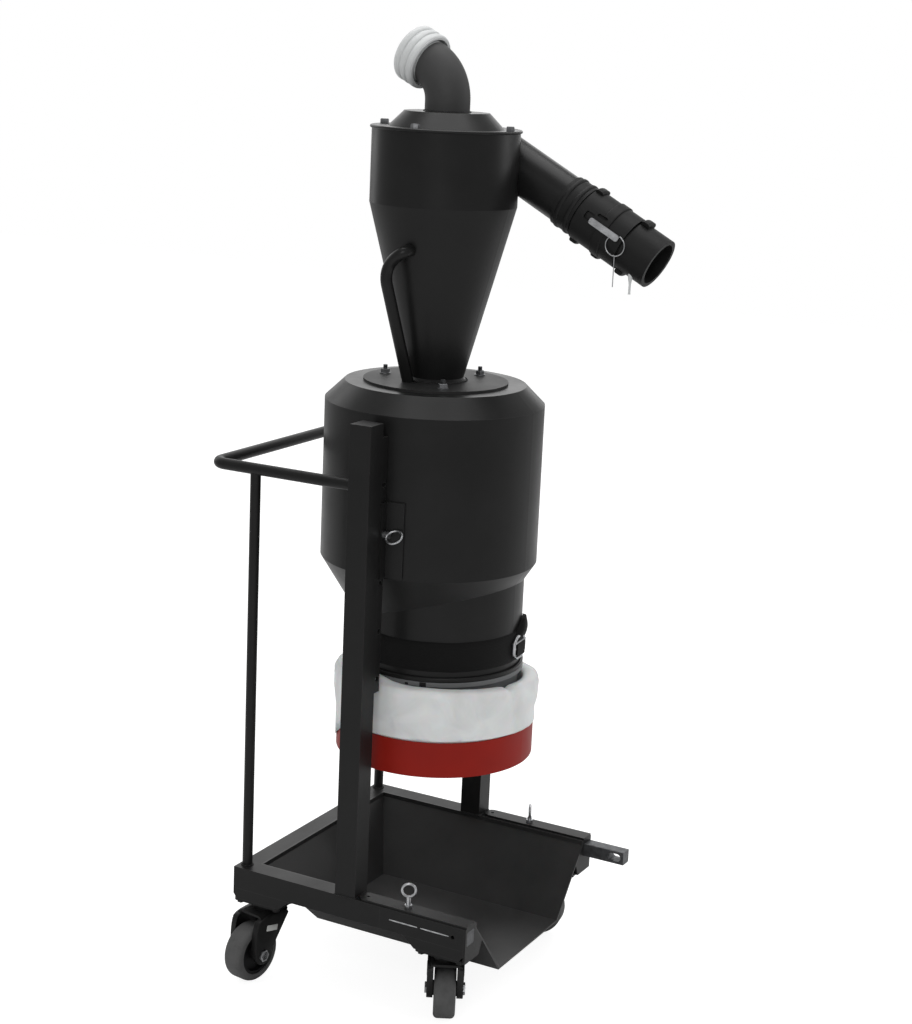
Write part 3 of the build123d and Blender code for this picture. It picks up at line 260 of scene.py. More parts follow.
filmFinish = {
    "tones": ((0.3, "#d9dbdb"), (0.5, "#e1e3e3"), (0.72, "#eaecec")), "cloudSize": 60,
    "creaseSize": 16, "creaseStretch": (1, 1, 0.25), "creaseStrength": 0.2, "creaseDepth": 0.5,
}


def bagFilm(name):
    # polyethylene bag film in many layers: milky, soft light through it, small creases
    v = filmFinish
    made, tree, shader = newMaterial(name, Roughness=0.42, Subsurface_Weight=0.25, Subsurface_Scale=0.012,
                                     Specular_IOR_Level=0.5)
    place = addNode(tree, "ShaderNodeTexCoord").outputs["Object"]
    cloud = addNode(tree, "ShaderNodeTexNoise", links={"Vector": place}, inputs={
        "Scale": 1000 / v["cloudSize"], "Detail": 3.0, "Roughness": 0.5, "Distortion": 0.8})
    stretch = addNode(tree, "ShaderNodeMapping", links={"Vector": place},
                      inputs={"Scale": v["creaseStretch"]})
    crease = addNode(tree, "ShaderNodeTexNoise", links={"Vector": stretch}, inputs={
        "Scale": 1000 / v["creaseSize"], "Detail": 3.0, "Roughness": 0.5, "Distortion": 1.2})
    tone = addNode(tree, "ShaderNodeValToRGB", links={"Fac": cloud},
                   stops=[(at, linear(colour)) for at, colour in v["tones"]])
    tree.links.new(tone.outputs[0], shader.inputs["Base Color"])
    bump = addNode(tree, "ShaderNodeBump", links={"Height": crease},
                   inputs={"Strength": v["creaseStrength"], "Distance": v["creaseDepth"] * mm})
    tree.links.new(bump.outputs[0], shader.inputs["Normal"])
    return made


# powder coats: base, worn edge, roughness, wear, dust; plate and plastics: base, roughness and grain
finishes = {
    "satinBlack": powderCoat("satin black powder coat", "#181818", "#444444", 0.34, 0.3, 0.03),
    "frameBlack": powderCoat("black powder coat on tube", "#181818", "#505050", 0.4, 0.45, 0.08),
    "trayBlack": powderCoat("black powder coat on tray sheet", "#272727", "#505050", 0.34, 0.45, 0.06),
    "elbowBlack": powderCoat("matt black powder coat on the elbow", "#414141",
                             "#585858", 0.55, 0.2, 0.02, 0.15),
    # painted light: the cyclone plate's coat is lighter than the other blacks, to make up for the shade the
    # plate sits in
    "plateBlackPaintedLight": powderCoat("matt black powder coat on plate with painted light", "#2a2a2a", "#585858", 0.5, 0.4, 0.05),
    "pressedBlack": powderCoat("black coated pressed steel", "#131313", "#484848", 0.4, 0.5, 0.08),
    "zinc": platedSteel("bright zinc plate", "#b4b5b7"),
    "dullZinc": platedSteel("dull zinc plate", "#7c7d7f", 0.42, False),
    "barZinc": platedSteel("handled zinc plate on bars", "#606163", 0.45, False),
    "rubber": mouldedPlastic("black moulded rubber", "#141414", 0.5, 0.9, 0.1, 0.22),
    "hub": mouldedPlastic("dark nylon hub", "#131314", 0.45, specular=0.2),
    "tyre": tyreRubber("grey non-marking rubber", "#545454"),
    "cuff": mouldedPlastic("light grey soft vinyl cuff", "#cfd1d1", 0.55, 1.0, 0.06, 0.3),
    "core": mouldedPlastic("mid grey polypropylene core", "#6a6b6c", 0.45, specular=0.25),
    "red": mouldedPlastic("dark red polypropylene band", "#8a190f", 0.42, 0.9, 0.05, 0.15),
    "film": bagFilm("milky polyethylene film"),
    "strap": wovenStrap("black polyester webbing", "#0d0d0d"),
    "label": mouldedPlastic("pale polyester label stock", "#b9bab8", 0.5, 0.6, 0.02, 0.3),
}
print("materials made")

nodeFinish = {
    "satinBlack": ("drum_shell", "drum_top", "neck_lip", "cyclone_body", "cyclone_lid", "inlet_pipe",
                   "cone_grip", "drum_saddles", "neck_strap"),
    "frameBlack": ("side_beams", "rear_beam", "bar_guides", "guide_plates", "end_plates", "posts",
                   "hole_rails", "push_handle", "handle_rods", "caster_brackets"),
    "trayBlack": ("tray",),
    "pressedBlack": ("lid_bolts", "caster_plates") + tuple(n for n in nodes if n.endswith("_fork")),
    "zinc": ("eye_screws", "rail_pins", "coupling_latch", "coupling_ring", "strap_buckle"),
    "dullZinc": ("plate_bolts",),
    "barZinc": ("near_bar", "far_bar"),
    "elbowBlack": ("outlet_elbow",),
    "plateBlackPaintedLight": ("cyclone_plate",),
    "rubber": ("inlet_sleeve", "coupling_body", "inlet_mouth"),
    "hub": tuple(n for n in nodes if n.endswith("_hub")),
    "tyre": tuple(n for n in nodes if n.endswith("_tyre")),
    "cuff": ("outlet_cuff", "mouth_peg"),
    "core": ("cassette_core",),
    "red": ("cassette_band",),
    "film": ("dust_bag",),
}
for finish, names in nodeFinish.items():
    for name in names:
        slots = nodes[name].material_slots
        for slot in slots:
            slot.material = finishes[finish]
        if not slots:
            nodes[name].data.materials.append(finishes[finish])
print("CAD nodes dressed")


# mesh helpers

def finishMesh(name, mesh, finish, body="trolley", sharpFrom=35):
    # edges above the angle sharpFrom stay sharp; with 0 none does
    made = bpy.data.objects.new(name, mesh)
    scene.collection.objects.link(made)
    mesh.materials.clear()
    mesh.materials.append(finishes[finish])
    for face in mesh.polygons:
        face.use_smooth = True
    if sharpFrom:
        mesh.set_sharp_from_angle(angle=math.radians(sharpFrom))
    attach(made, body)
    return made


def gridMesh(name, rows, closedRows, closedColumns):
    # rows of points joined by quads; a row is one ring or strip
    mesh = bpy.data.meshes.new(name)
    points = [p for row in rows for p in row]
    width, faces = len(rows[0]), []
    for i in range(len(rows) if closedRows else len(rows) - 1):
        for j in range(width if closedColumns else width - 1):
            a, b = i * width + j, i * width + (j + 1) % width
            c, d = ((i + 1) % len(rows)) * width + (j + 1) % width, ((i + 1) % len(rows)) * width + j
            faces.append((a, b, c, d))
    mesh.from_pydata(points, [], faces)
    mesh.update()
    return mesh


def outward(mesh):
    work = bmesh.new()
    work.from_mesh(mesh)
    bmesh.ops.remove_doubles(work, verts=work.verts, dist=1e-6)
    bmesh.ops.recalc_face_normals(work, faces=work.faces)
    work.to_mesh(mesh)
    work.free()
    return mesh


def capped(mesh):
    # both open ends of a tube-like mesh filled
    work = bmesh.new()
    work.from_mesh(mesh)
    bmesh.ops.holes_fill(work, edges=[e for e in work.edges if e.is_boundary])
    work.to_mesh(mesh)
    work.free()
    return outward(mesh)


def joined(name, meshes):
    work = bmesh.new()
    for mesh in meshes:
        work.from_mesh(mesh)
    made = bpy.data.meshes.new(name)
    work.to_mesh(made)
    work.free()
    return made


def ringPoints(centre, axis, radius, count):
    axis = Vector(axis).normalized()
    side = axis.orthogonal().normalized()
    other = axis.cross(side)
    angles = [2 * math.pi * k / count for k in range(count)]
    return [centre + (side * math.cos(angle) + other * math.sin(angle)) * (radius * mm) for angle in angles]


def lathe(name, profile, origin, count):
    # profile points are (reach, height) in mm, turned round the upright through origin
    side = upward.orthogonal().normalized()
    other = upward.cross(side)
    rows = []
    for step in range(count):
        angle = 2 * math.pi * step / count
        out = side * math.cos(angle) + other * math.sin(angle)
        rows.append([origin + out * (r * mm) + upward * (z * mm) for r, z in profile])
    return outward(gridMesh(name, rows, True, True))


def tube(name, points, radius, sides, closed=False):
    rows, count = [], len(points)
    normal = None
    for i, p in enumerate(points):
        ahead = points[(i + 1) % count] if closed or i < count - 1 else p
        behind = points[i - 1] if closed or i else p
        along = (ahead - behind).normalized()
        normal = along.orthogonal() if normal is None else normal - along * normal.dot(along)
        normal.normalize()
        other = along.cross(normal)
        row = []
        for k in range(sides):
            angle = 2 * math.pi * k / sides
            row.append(p + normal * (radius * mm * math.cos(angle)) + other * (radius * mm * math.sin(angle)))
        rows.append(row)
    mesh = gridMesh(name, rows, closed, True)
    return outward(mesh) if closed else capped(mesh)


def smoothOutline(points, rounds):
    # Chaikin corner cutting on a closed outline
    for _ in range(rounds):
        cut = []
        for i, (x, y) in enumerate(points):
            nx, ny = points[(i + 1) % len(points)]
            cut.append((x * 0.75 + nx * 0.25, y * 0.75 + ny * 0.25))
            cut.append((x * 0.25 + nx * 0.75, y * 0.25 + ny * 0.75))
        points = cut
    return points


def rectangle(x0, x1, y0, y1):
    return [(x0, y0), (x1, y0), (x1, y1), (x0, y1)]


def inset(points, distance):
    middle = Vector((sum(x for x, _ in points), sum(y for _, y in points))) / len(points)
    return [tuple(Vector(p) - (Vector(p) - middle).normalized() * distance) for p in points]


# Geometry Nodes: beads along a path, and one part set on many points

def newTree(name, inputs):
    tree = bpy.data.node_groups.new(name, "GeometryNodeTree")
    tree.interface.new_socket("Geometry", in_out="INPUT", socket_type="NodeSocketGeometry")
    for label, kind, value in inputs:
        socket = tree.interface.new_socket(label, in_out="INPUT", socket_type=kind)
        if value is not None:
            socket.default_value = value
    tree.interface.new_socket("Geometry", in_out="OUTPUT", socket_type="NodeSocketGeometry")
    return tree, addNode(tree, "NodeGroupInput"), addNode(tree, "NodeGroupOutput")


def realised(tree, given, out, geometry):
    real = addNode(tree, "GeometryNodeRealizeInstances", links={"Geometry": geometry})
    dressed = addNode(tree, "GeometryNodeSetMaterial",
                      links={"Geometry": real.outputs[0], "Material": given.outputs["Finish"]})
    tree.links.new(dressed.outputs[0], out.inputs[0])
    return tree


def applied(name, source, tree, values, finish, body, sharpFrom):
    # the modifier's result becomes a plain mesh
    modifier = source.modifiers.new("shape", "NODES")
    modifier.node_group = tree
    values = {**values, "Finish": finishes[finish]}
    for item in tree.interface.items_tree:
        if item.item_type == "SOCKET" and item.in_out == "INPUT" and item.name in values:
            modifier[item.identifier] = values[item.name]
    graph = bpy.context.evaluated_depsgraph_get()
    mesh = bpy.data.meshes.new_from_object(source.evaluated_get(graph))
    bpy.data.objects.remove(source)
    return finishMesh(name, mesh, finish, body, sharpFrom)


weldValues = {"pitch": 3.2, "depth": 0.35, "stepsPerRipple": 4.0, "sides": 8}


def beadTree():
    # a rippled weld bead: a round section swept along the path, its radius changing with each puddle
    tree, given, out = newTree("weldBead", [
        ("Bead radius", "NodeSocketFloat", 2 * mm), ("Ripple pitch", "NodeSocketFloat", 3 * mm),
        ("Ripple depth", "NodeSocketFloat", 0.5 * mm), ("Finish", "NodeSocketMaterial", None)])
    pitch = given.outputs["Ripple pitch"]
    step = addNode(tree, "ShaderNodeMath", {"operation": "DIVIDE"}, {1: weldValues["stepsPerRipple"]},
                   {0: pitch})
    path = addNode(tree, "GeometryNodeResampleCurve", {"mode": "LENGTH"},
                   links={"Curve": given.outputs["Geometry"], "Length": step})
    place = addNode(tree, "GeometryNodeSplineParameter").outputs["Length"]
    turns = addNode(tree, "ShaderNodeMath", {"operation": "DIVIDE"}, links={0: place, 1: pitch})
    phase = addNode(tree, "ShaderNodeMath", {"operation": "MULTIPLY"}, {1: 2 * math.pi}, {0: turns})
    wave = addNode(tree, "ShaderNodeMath", {"operation": "SINE"}, links={0: phase})
    depth = addNode(tree, "ShaderNodeMath", {"operation": "MULTIPLY"},
                    links={0: wave, 1: given.outputs["Ripple depth"]})
    radius = addNode(tree, "ShaderNodeMath", {"operation": "ADD"},
                     links={0: depth, 1: given.outputs["Bead radius"]})
    swollen = addNode(tree, "GeometryNodeSetCurveRadius", links={"Curve": path.outputs[0], "Radius": radius})
    section = addNode(tree, "GeometryNodeCurvePrimitiveCircle",
                      inputs={"Resolution": weldValues["sides"], "Radius": 1.0})
    skin = addNode(tree, "GeometryNodeCurveToMesh", inputs={"Fill Caps": True},
                   links={"Curve": swollen.outputs[0], "Profile Curve": section.outputs[0]})
    if "Scale" in skin.inputs:
        reach = addNode(tree, "GeometryNodeInputRadius")
        tree.links.new(reach.outputs[0], skin.inputs["Scale"])
    return realised(tree, given, out, skin.outputs[0])


def scatterTree():
    # one part set on each point, its axis along the point's facing, turned a step further on each
    tree, given, out = newTree("setOnPoints", [
        ("Part", "NodeSocketObject", None), ("Turn step", "NodeSocketFloat", 0.0),
        ("Finish", "NodeSocketMaterial", None)])
    part = addNode(tree, "GeometryNodeObjectInfo", inputs={"As Instance": True},
                   links={"Object": given.outputs["Part"]})
    number = addNode(tree, "GeometryNodeInputIndex")
    facing = addNode(tree, "GeometryNodeInputNamedAttribute", {"data_type": "FLOAT_VECTOR"},
                     {"Name": "facing"})
    upright = addNode(tree, "FunctionNodeAlignRotationToVector", {"axis": "Z"},
                      links={"Vector": facing.outputs["Attribute"]})
    angle = addNode(tree, "ShaderNodeMath", {"operation": "MULTIPLY"},
                    links={0: number, 1: given.outputs["Turn step"]})
    spin = addNode(tree, "FunctionNodeAxisAngleToRotation", inputs={"Axis": (0, 0, 1)},
                   links={"Angle": angle})
    both = addNode(tree, "FunctionNodeRotateRotation", {"rotation_space": "LOCAL"},
                   links={"Rotation": upright.outputs[0], "Rotate By": spin.outputs[0]})
    cloud = addNode(tree, "GeometryNodeMeshToPoints", links={"Mesh": given.outputs["Geometry"]})
    many = addNode(tree, "GeometryNodeInstanceOnPoints", links={
        "Points": cloud.outputs[0], "Instance": part.outputs["Geometry"], "Rotation": both.outputs[0]})
    return realised(tree, given, out, many.outputs[0])


weldTree, pointTree = beadTree(), scatterTree()


def weldBead(name, paths, radius, finish="satinBlack", pitch=weldValues["pitch"],
             depth=weldValues["depth"]):
    # paths are closed rings of points
    curve = bpy.data.curves.new(name, "CURVE")
    curve.dimensions = "3D"
    for points in paths:
        spline = curve.splines.new("POLY")
        spline.points.add(len(points) - 1)
        for spot, p in zip(spline.points, points):
            spot.co = (*p, 1)
        spline.use_cyclic_u = True
    source = bpy.data.objects.new(name + "Path", curve)
    scene.collection.objects.link(source)
    values = {"Bead radius": radius * mm, "Ripple pitch": pitch * mm, "Ripple depth": depth * mm}
    return applied(name, source, weldTree, values, finish, "trolley", None)


def setOnPoints(name, partMesh, spots, finish, turnStep, body="trolley"):
    # spots are (place, facing)
    part = bpy.data.objects.new(name + "Part", partMesh)
    scene.collection.objects.link(part)
    cloud = bpy.data.meshes.new(name + "Points")
    cloud.from_pydata([tuple(place) for place, _ in spots], [], [])
    facing = cloud.attributes.new("facing", "FLOAT_VECTOR", "POINT")
    for i, (_, way) in enumerate(spots):
        facing.data[i].vector = way
    source = bpy.data.objects.new(name + "Source", cloud)
    scene.collection.objects.link(source)
    made = applied(name, source, pointTree, {"Part": part, "Turn step": turnStep}, finish, body, 35)
    bpy.data.objects.remove(part)
    return made


# shares of a hexagon's height and reach, and a stud's thread, in mm
hexValues = {
    "chamferFrom": 0.82, "chamferReach": 0.86, "threadPitch": 0.7, "rootShare": 0.88, "tipShare": 0.7,
    "washerEdge": 0.5, "washerFrom": 0.8, "washerSteps": 28, "studSteps": 18, "bore": 0.1, "studAxis": 0.05,
}


def hexHead(name, across, height, washer=0, washerHeight=0, stud=0, studRadius=0):
    # a hexagon with its top corners turned down, on an optional washer, with an optional stud end
    v, meshes, base = hexValues, [], Vector((0, 0, 0))
    if washer:
        disc = [(v["bore"], 0), (washer, 0), (washer, washerHeight * v["washerFrom"]),
                (washer - v["washerEdge"], washerHeight), (v["bore"], washerHeight)]
        meshes.append(lathe(name + "W", disc, base, v["washerSteps"]))
    reach, top = across / math.sqrt(3), washerHeight + height
    work = bmesh.new()
    rings = []
    for r, z in ((reach, washerHeight), (reach, washerHeight + height * v["chamferFrom"]),
                 (reach * v["chamferReach"], top)):
        turns = [math.pi / 3 * k for k in range(6)]
        corners = [(r * math.cos(turn) * mm, r * math.sin(turn) * mm, z * mm) for turn in turns]
        rings.append([work.verts.new(corner) for corner in corners])
    for low, high in zip(rings, rings[1:]):
        for k in range(6):
            work.faces.new((low[k], low[(k + 1) % 6], high[(k + 1) % 6], high[k]))
    work.faces.new(rings[-1])
    work.faces.new(list(reversed(rings[0])))
    hexMesh = bpy.data.meshes.new(name + "H")
    work.to_mesh(hexMesh)
    work.free()
    meshes.append(hexMesh)
    if stud:
        profile = [(v["studAxis"], top - 1)]
        steps = int(stud / v["threadPitch"])
        for k in range(steps):
            z = top + stud * k / steps
            profile += [(studRadius, z), (studRadius * v["rootShare"], z + stud / steps / 2)]
        profile += [(studRadius * v["tipShare"], top + stud), (v["studAxis"], top + stud)]
        meshes.append(lathe(name + "S", profile, base, v["studSteps"]))
    return joined(name, meshes)


# cyclone: rolled rim, weld beads, lid bolts and studs
cycloneValues = {
    "rimReach": 125.6, "rimSize": 2.6, "rimHeight": 1493.0, "rimSteps": 120, "rimSides": 10,
    "footReach": 53.2, "footHeight": 1069.8, "footSteps": 90, "footBead": 1.6,
    "elbowReach": 38.6, "elbowSteps": 70, "elbowBead": 2.0,
    "lidBolts": 4, "lidBoltReach": 117, "lidBoltAngle": 3, "lidBoltHeight": 1494.6, "lidBoltTurn": 0.9,
    "lidBolt": {"across": 13, "height": 8.5},
    "studs": 3, "studReach": 96, "studHeight": 1069.2, "studAngle": 66, "studTurn": 0.7,
    "stud": {"across": 14, "height": 7, "washer": 9.5, "washerHeight": 1.6, "stud": 7.0, "studRadius": 4.0},
}


def drumRing(reach, height, count):
    return ringPoints(around(drumAxis, 0, 0, height), upward, reach, count)


def drumSpots(reach, start, height, count):
    return [(around(drumAxis, reach, start + 360 / count * k, height), (0, 0, 1)) for k in range(count)]


def dressCyclone():
    v = cycloneValues
    rim = drumRing(v["rimReach"], v["rimHeight"], v["rimSteps"])
    finishMesh("cycloneRolledRim", tube("rimRing", rim, v["rimSize"], v["rimSides"], True), "satinBlack")
    weldBead("cycloneFootWeld", [drumRing(v["footReach"], v["footHeight"], v["footSteps"])], v["footBead"])
    lidTop = boxOf("cyclone_lid")[1].z / mm
    weldBead("elbowFootWeld", [drumRing(v["elbowReach"], lidTop, v["elbowSteps"])], v["elbowBead"])
    lidSpots = drumSpots(v["lidBoltReach"], v["lidBoltAngle"], v["lidBoltHeight"], v["lidBolts"])
    lidBolt = hexHead("lidBolt", **v["lidBolt"])
    lidBolts = setOnPoints("lidBoltHeads", lidBolt, lidSpots, "dullZinc", v["lidBoltTurn"])
    studSpots = drumSpots(v["studReach"], v["studAngle"], v["studHeight"], v["studs"])
    studs = setOnPoints("plateStuds", hexHead("studNut", **v["stud"]), studSpots, "dullZinc", v["studTurn"])
    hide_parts("lid_bolts")
    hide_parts("plate_bolts")


dressCyclone()
print("cyclone details made")

# film bag: a long film tube gathered in loose layers round the core
filmValues = {
    "bottom": 416, "bandTop": 474.5, "top": 568.5, "inner": 151.8, "band": 171, "waist": 176.5,
    "bulge": 183.5, "around": 540, "rows": 72,
    # each point of the outline: a reach and what is added to it, a height and what is added to it
    "outline": (
        ("inner", 0, "bottom", 0), ("inner", 0, "top", -7), ("inner", 3, "top", -3), ("bulge", -18, "top", 0),
        ("bulge", -5, "top", -3), ("bulge", 0, "top", -14), ("bulge", -1, "top", -40),
        ("waist", 3, "bandTop", 22), ("waist", 0.8, "bandTop", 4), ("waist", 0.4, "bandTop", -1.5),
        ("waist", -1, "bandTop", -1.5), ("waist", -1.2, "bandTop", 0.5), ("band", 0, "bandTop", -2),
        ("band", 0, "bottom", 0)),
    "frontAzimuth": 298, "lean": 11.5, "leanRight": 4.5,      # the loose top stands highest in front
    "looseUp": 20, "looseUpFrom": -1, "looseOut": 10, "looseOutFrom": 0.5,      # where the layers come loose
    "creaseAzimuth": 347, "creaseWidth": 3.2, "creaseDepth": 4.5, "creaseLean": 3, "notchDepth": 7,
    "foldAzimuth": 258, "foldWidth": 12, "foldRise": 12, "foldIn": 12, "foldSpan": 8,
    "hemFrom": -2, "hemTo": 5, "hemOut": 3, "hemTop": 4, "hemSpan": 5.5,      # the lower edge over the band
    "overlap": -5.5, "overlapRound": 9.5, "ragged": 1.2, "raggedField": (9, 0, 31, 0),
    "flapAzimuth": 208, "flapWidth": 16, "flapLength": 57, "tuck": 1.4,
    "swell": 2.0, "swellField": (2.6, 0.01, 4, 0), "pleat": 1.1, "pleatField": (6, 0.02, 7, 0),
    "fine": 0.35, "fineField": (15, 0.05, 0, 0), "pleatRise": 0.9,
    "ridge": 1.6, "ridgeField": (7, 0.045, 3, 0.03), "ridgeTop": 0.5, "ridgeSlope": 2.2,
    "layer": 0.9, "layerRate": 0.1, "layerSway": 2.6, "layerField": (2.2, 0, 21, 0),
}


def wander(field, azimuth, height):
    # smooth noise round an axis; a field is its turns, its rate per height, its seed and its slant
    turns, rate, seed, slant = field
    angle = math.radians(azimuth)
    across = math.cos(angle) * turns + slant * height
    return noise.noise(Vector((across, math.sin(angle) * turns, height * rate + seed)))


def hump(azimuth, middle, width):
    away = (azimuth - middle + 180) % 360 - 180
    return math.exp(-(away / width) ** 2)


def ease(value, span):
    return max(0.0, min(1.0, value / span))


def evenProfile(outline, count):
    # points evenly spaced along an outline
    lengths = [0]
    for (r0, z0), (r1, z1) in zip(outline, outline[1:]):
        lengths.append(lengths[-1] + math.hypot(r1 - r0, z1 - z0))
    profile = []
    for k in range(count):
        along = lengths[-1] * k / (count - 1)
        i = max(j for j in range(len(lengths) - 1) if lengths[j] <= along + 1e-9)
        share = (along - lengths[i]) / (lengths[i + 1] - lengths[i])
        (r0, z0), (r1, z1) = outline[i], outline[i + 1]
        profile.append((r0 + (r1 - r0) * share, z0 + (z1 - z0) * share))
    return profile


def filmPoint(azimuth, r, z):
    # the profile point (r, z) after the film's leaning, folds, creases and layers
    v = filmValues
    facing = math.radians(azimuth - v["frontAzimuth"])
    notch = v["notchDepth"] * hump(azimuth, v["creaseAzimuth"], v["creaseWidth"])
    drop = v["lean"] * (1 - math.cos(facing)) + v["leanRight"] * math.sin(facing) + notch
    rise = v["foldRise"] * hump(azimuth, v["foldAzimuth"], v["foldWidth"])
    above = z - v["bandTop"]
    high = ease(above, v["top"] - v["bandTop"])
    loose = ease(above - v["looseUpFrom"], v["looseUp"])
    loose *= ease(r - v["inner"] - v["looseOutFrom"], v["looseOut"])
    pleat = wander(v["pleatField"], azimuth, z) + v["fine"] * wander(v["fineField"], azimuth, z)
    ridge = max(0.0, v["ridgeTop"] - abs(wander(v["ridgeField"], azimuth, z)) * v["ridgeSlope"])
    # loose layers stand in steps, seen as soft lines that run round the bag
    layer = math.sin(z * v["layerRate"] + v["layerSway"] * wander(v["layerField"], azimuth, z))
    swell = v["swell"] * wander(v["swellField"], azimuth, z) + v["pleat"] * pleat
    swell += v["ridge"] * ridge + v["layer"] * layer
    creaseAzimuth = v["creaseAzimuth"] + v["creaseLean"] * (1 - high)
    dent = v["creaseDepth"] * hump(azimuth, creaseAzimuth, v["creaseWidth"])
    # the fold at the left stands up, and so do the pleats a little
    lift = rise * ease(v["bulge"] - v["foldIn"] - r, v["foldSpan"]) + v["pleatRise"] * pleat
    height = z - drop * high ** 1.5 + loose * high ** 3 * lift
    if v["hemFrom"] < above < v["hemTo"] and r > v["band"] + v["hemOut"]:
        # the lower edge hangs further down at the back, and in one long flap
        hang = v["flapLength"] * hump(azimuth, v["flapAzimuth"], v["flapWidth"]) ** 0.5
        ragged = v["ragged"] * wander(v["raggedField"], azimuth, z)
        edge = v["overlap"] + v["overlapRound"] * (1 - math.cos(facing)) + hang + ragged
        height -= ease(v["hemTop"] - above, v["hemSpan"]) * edge
    return around(neckAxis, r + loose * (swell - v["tuck"] - dent), azimuth, height)


def filmMesh():
    v = filmValues
    outline = [(v[reach] + out, v[height] + up) for reach, out, height, up in v["outline"]]
    profile = evenProfile(outline, v["rows"])
    azimuths = [step * 360 / v["around"] for step in range(v["around"])]
    rows = [[filmPoint(azimuth, r, z) for r, z in profile] for azimuth in azimuths]
    return outward(gridMesh("filmBag", rows, True, True))


filmBag = finishMesh("filmBag", filmMesh(), "film", sharpFrom=0)
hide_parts("dust_bag")

# the red band's rim under the film's edge, and the gathered film that closes the cassette's bottom
rimProfile = [(170.2, 466), (171.4, 468), (172.0, 474), (173.2, 479), (173.2, 486), (170.2, 486)]
bandRim = lathe("cassetteBandRim", rimProfile, Vector((neckAxis.x, neckAxis.y, 0)), 240)
finishMesh("cassetteBandRim", bandRim, "red")
endValues = {
    "steps": 90, "pleats": 14, "pleatDepth": 2.0, "reach": 138, "twist": 0.03,
    "profile": ((139, 416), (120, 417.5), (95, 417), (70, 418.5), (45, 417.5), (20, 419), (4, 424),
                (0.5, 424), (0.5, 421), (20, 416.5), (60, 415.5), (110, 415.2), (139, 415.2)),
}


def endPoint(angle, r, z):
    v = endValues
    pleat = r / v["reach"] * v["pleatDepth"] * math.sin(angle * v["pleats"] + r * v["twist"])
    return around(neckAxis, r, math.degrees(angle), z + pleat)


endAngles = [2 * math.pi * step / endValues["steps"] for step in range(endValues["steps"])]
endRows = [[endPoint(angle, r, z) for r, z in endValues["profile"]] for angle in endAngles]
finishMesh("filmBagEnd", outward(gridMesh("filmBagEnd", endRows, True, True)), "film", sharpFrom=0)
print("film bag made")

# neck strap with its cam buckle and tail
strapValues = {
    "reach": 146.4, "thick": 3.4, "low": 592, "high": 644, "across": 14,
    "edgeShare": 0.9, "seat": 0.1,
    "sway": 0.8, "swayField": (3, 0, 5, 0), "ripple": 0.25, "rippleField": (6, 2, 0, 0),
}
buckleValues = {
    "azimuth": 5, "width": 46, "height": 38, "stand": 3.2, "ring": 3.1, "ringSides": 10,
    "bars": ((0, 3.0, 0), (9, 2.0, 1.5)), "barSides": 12,      # height, radius, how far out
    "lever": ((-16, 3.0), (-15, 4.6), (6, 5.2), (9, 3.5), (6, 3.8), (-15, 3.2)), "leverInset": 6,
}
tailValues = {
    "azimuth": 8, "azimuthTop": 21, "halfTurn": 16, "halfTurnTop": 6, "low": 626, "high": 661,
    "seat": 0.2, "gap": 0.4, "stand": 4.2, "bowFrom": 0.04, "bowSpan": 0.94,
    "thick": 3.0, "width": 40, "steps": 22, "across": 10,
}


def strapUv(mesh, across, stepLength, width):
    # one ring runs up the outer face and down the inner one
    layer = mesh.uv_layers.new(name="strap")
    count = 2 * (across + 1)
    for face in mesh.polygons:
        for corner, vertex in zip(face.loop_indices, face.vertices):
            ring, place = divmod(vertex, count)
            along = place if place <= across else count - 1 - place
            layer.data[corner].uv = (ring * stepLength * mm, along / across * width * mm)


def strapBand():
    v = strapValues
    rows = []
    for azimuth in range(361):
        sway = v["sway"] * wander(v["swayField"], azimuth, 0)
        row = []
        for side in (1, 0):
            for k in range(v["across"] + 1):
                across = k / v["across"] if side else 1 - k / v["across"]
                z = v["low"] + (v["high"] - v["low"]) * across + sway
                edge = v["edgeShare"] * (1 - (2 * across - 1) ** 8) + 1 - v["edgeShare"]
                ripple = v["ripple"] * wander(v["rippleField"], azimuth, across)
                reach = v["reach"] + (v["thick"] * edge + ripple if side else v["seat"])
                row.append(around(neckAxis, reach, azimuth, z))
        rows.append(row)
    mesh = gridMesh("strapBand", rows, False, True)
    strapUv(mesh, v["across"], math.pi / 180 * v["reach"], v["high"] - v["low"])
    return mesh


def buckleMeshes():
    v, strap = buckleValues, strapValues
    azimuth = math.radians(v["azimuth"])
    facing = Vector((math.cos(azimuth), math.sin(azimuth), 0))
    across = Vector((-facing.y, facing.x, 0))
    reach = strap["reach"] + strap["thick"] + v["stand"]
    middle = around(neckAxis, reach, v["azimuth"], (strap["low"] + strap["high"]) / 2)

    def at(x, y, out=0.0):
        return middle + across * (x * mm) + upward * (y * mm) + facing * (out * mm)

    halfWidth, halfHeight = v["width"] / 2, v["height"] / 2
    outline = smoothOutline(rectangle(-halfWidth, halfWidth, -halfHeight, halfHeight), 1)
    meshes = [tube("buckleRing", [at(x, y) for x, y in outline], v["ring"], v["ringSides"], True)]
    for y, radius, out in v["bars"]:
        ends = [at(-halfWidth, y, out), at(halfWidth, y, out)]
        meshes.append(tube("buckleBar", ends, radius, v["barSides"]))
    leverEnd = halfWidth - v["leverInset"]
    lever = [[at(x, y, out) for y, out in v["lever"]] for x in (-leverEnd, leverEnd)]
    return joined("camBuckle", meshes), capped(gridMesh("buckleLever", lever, False, True))


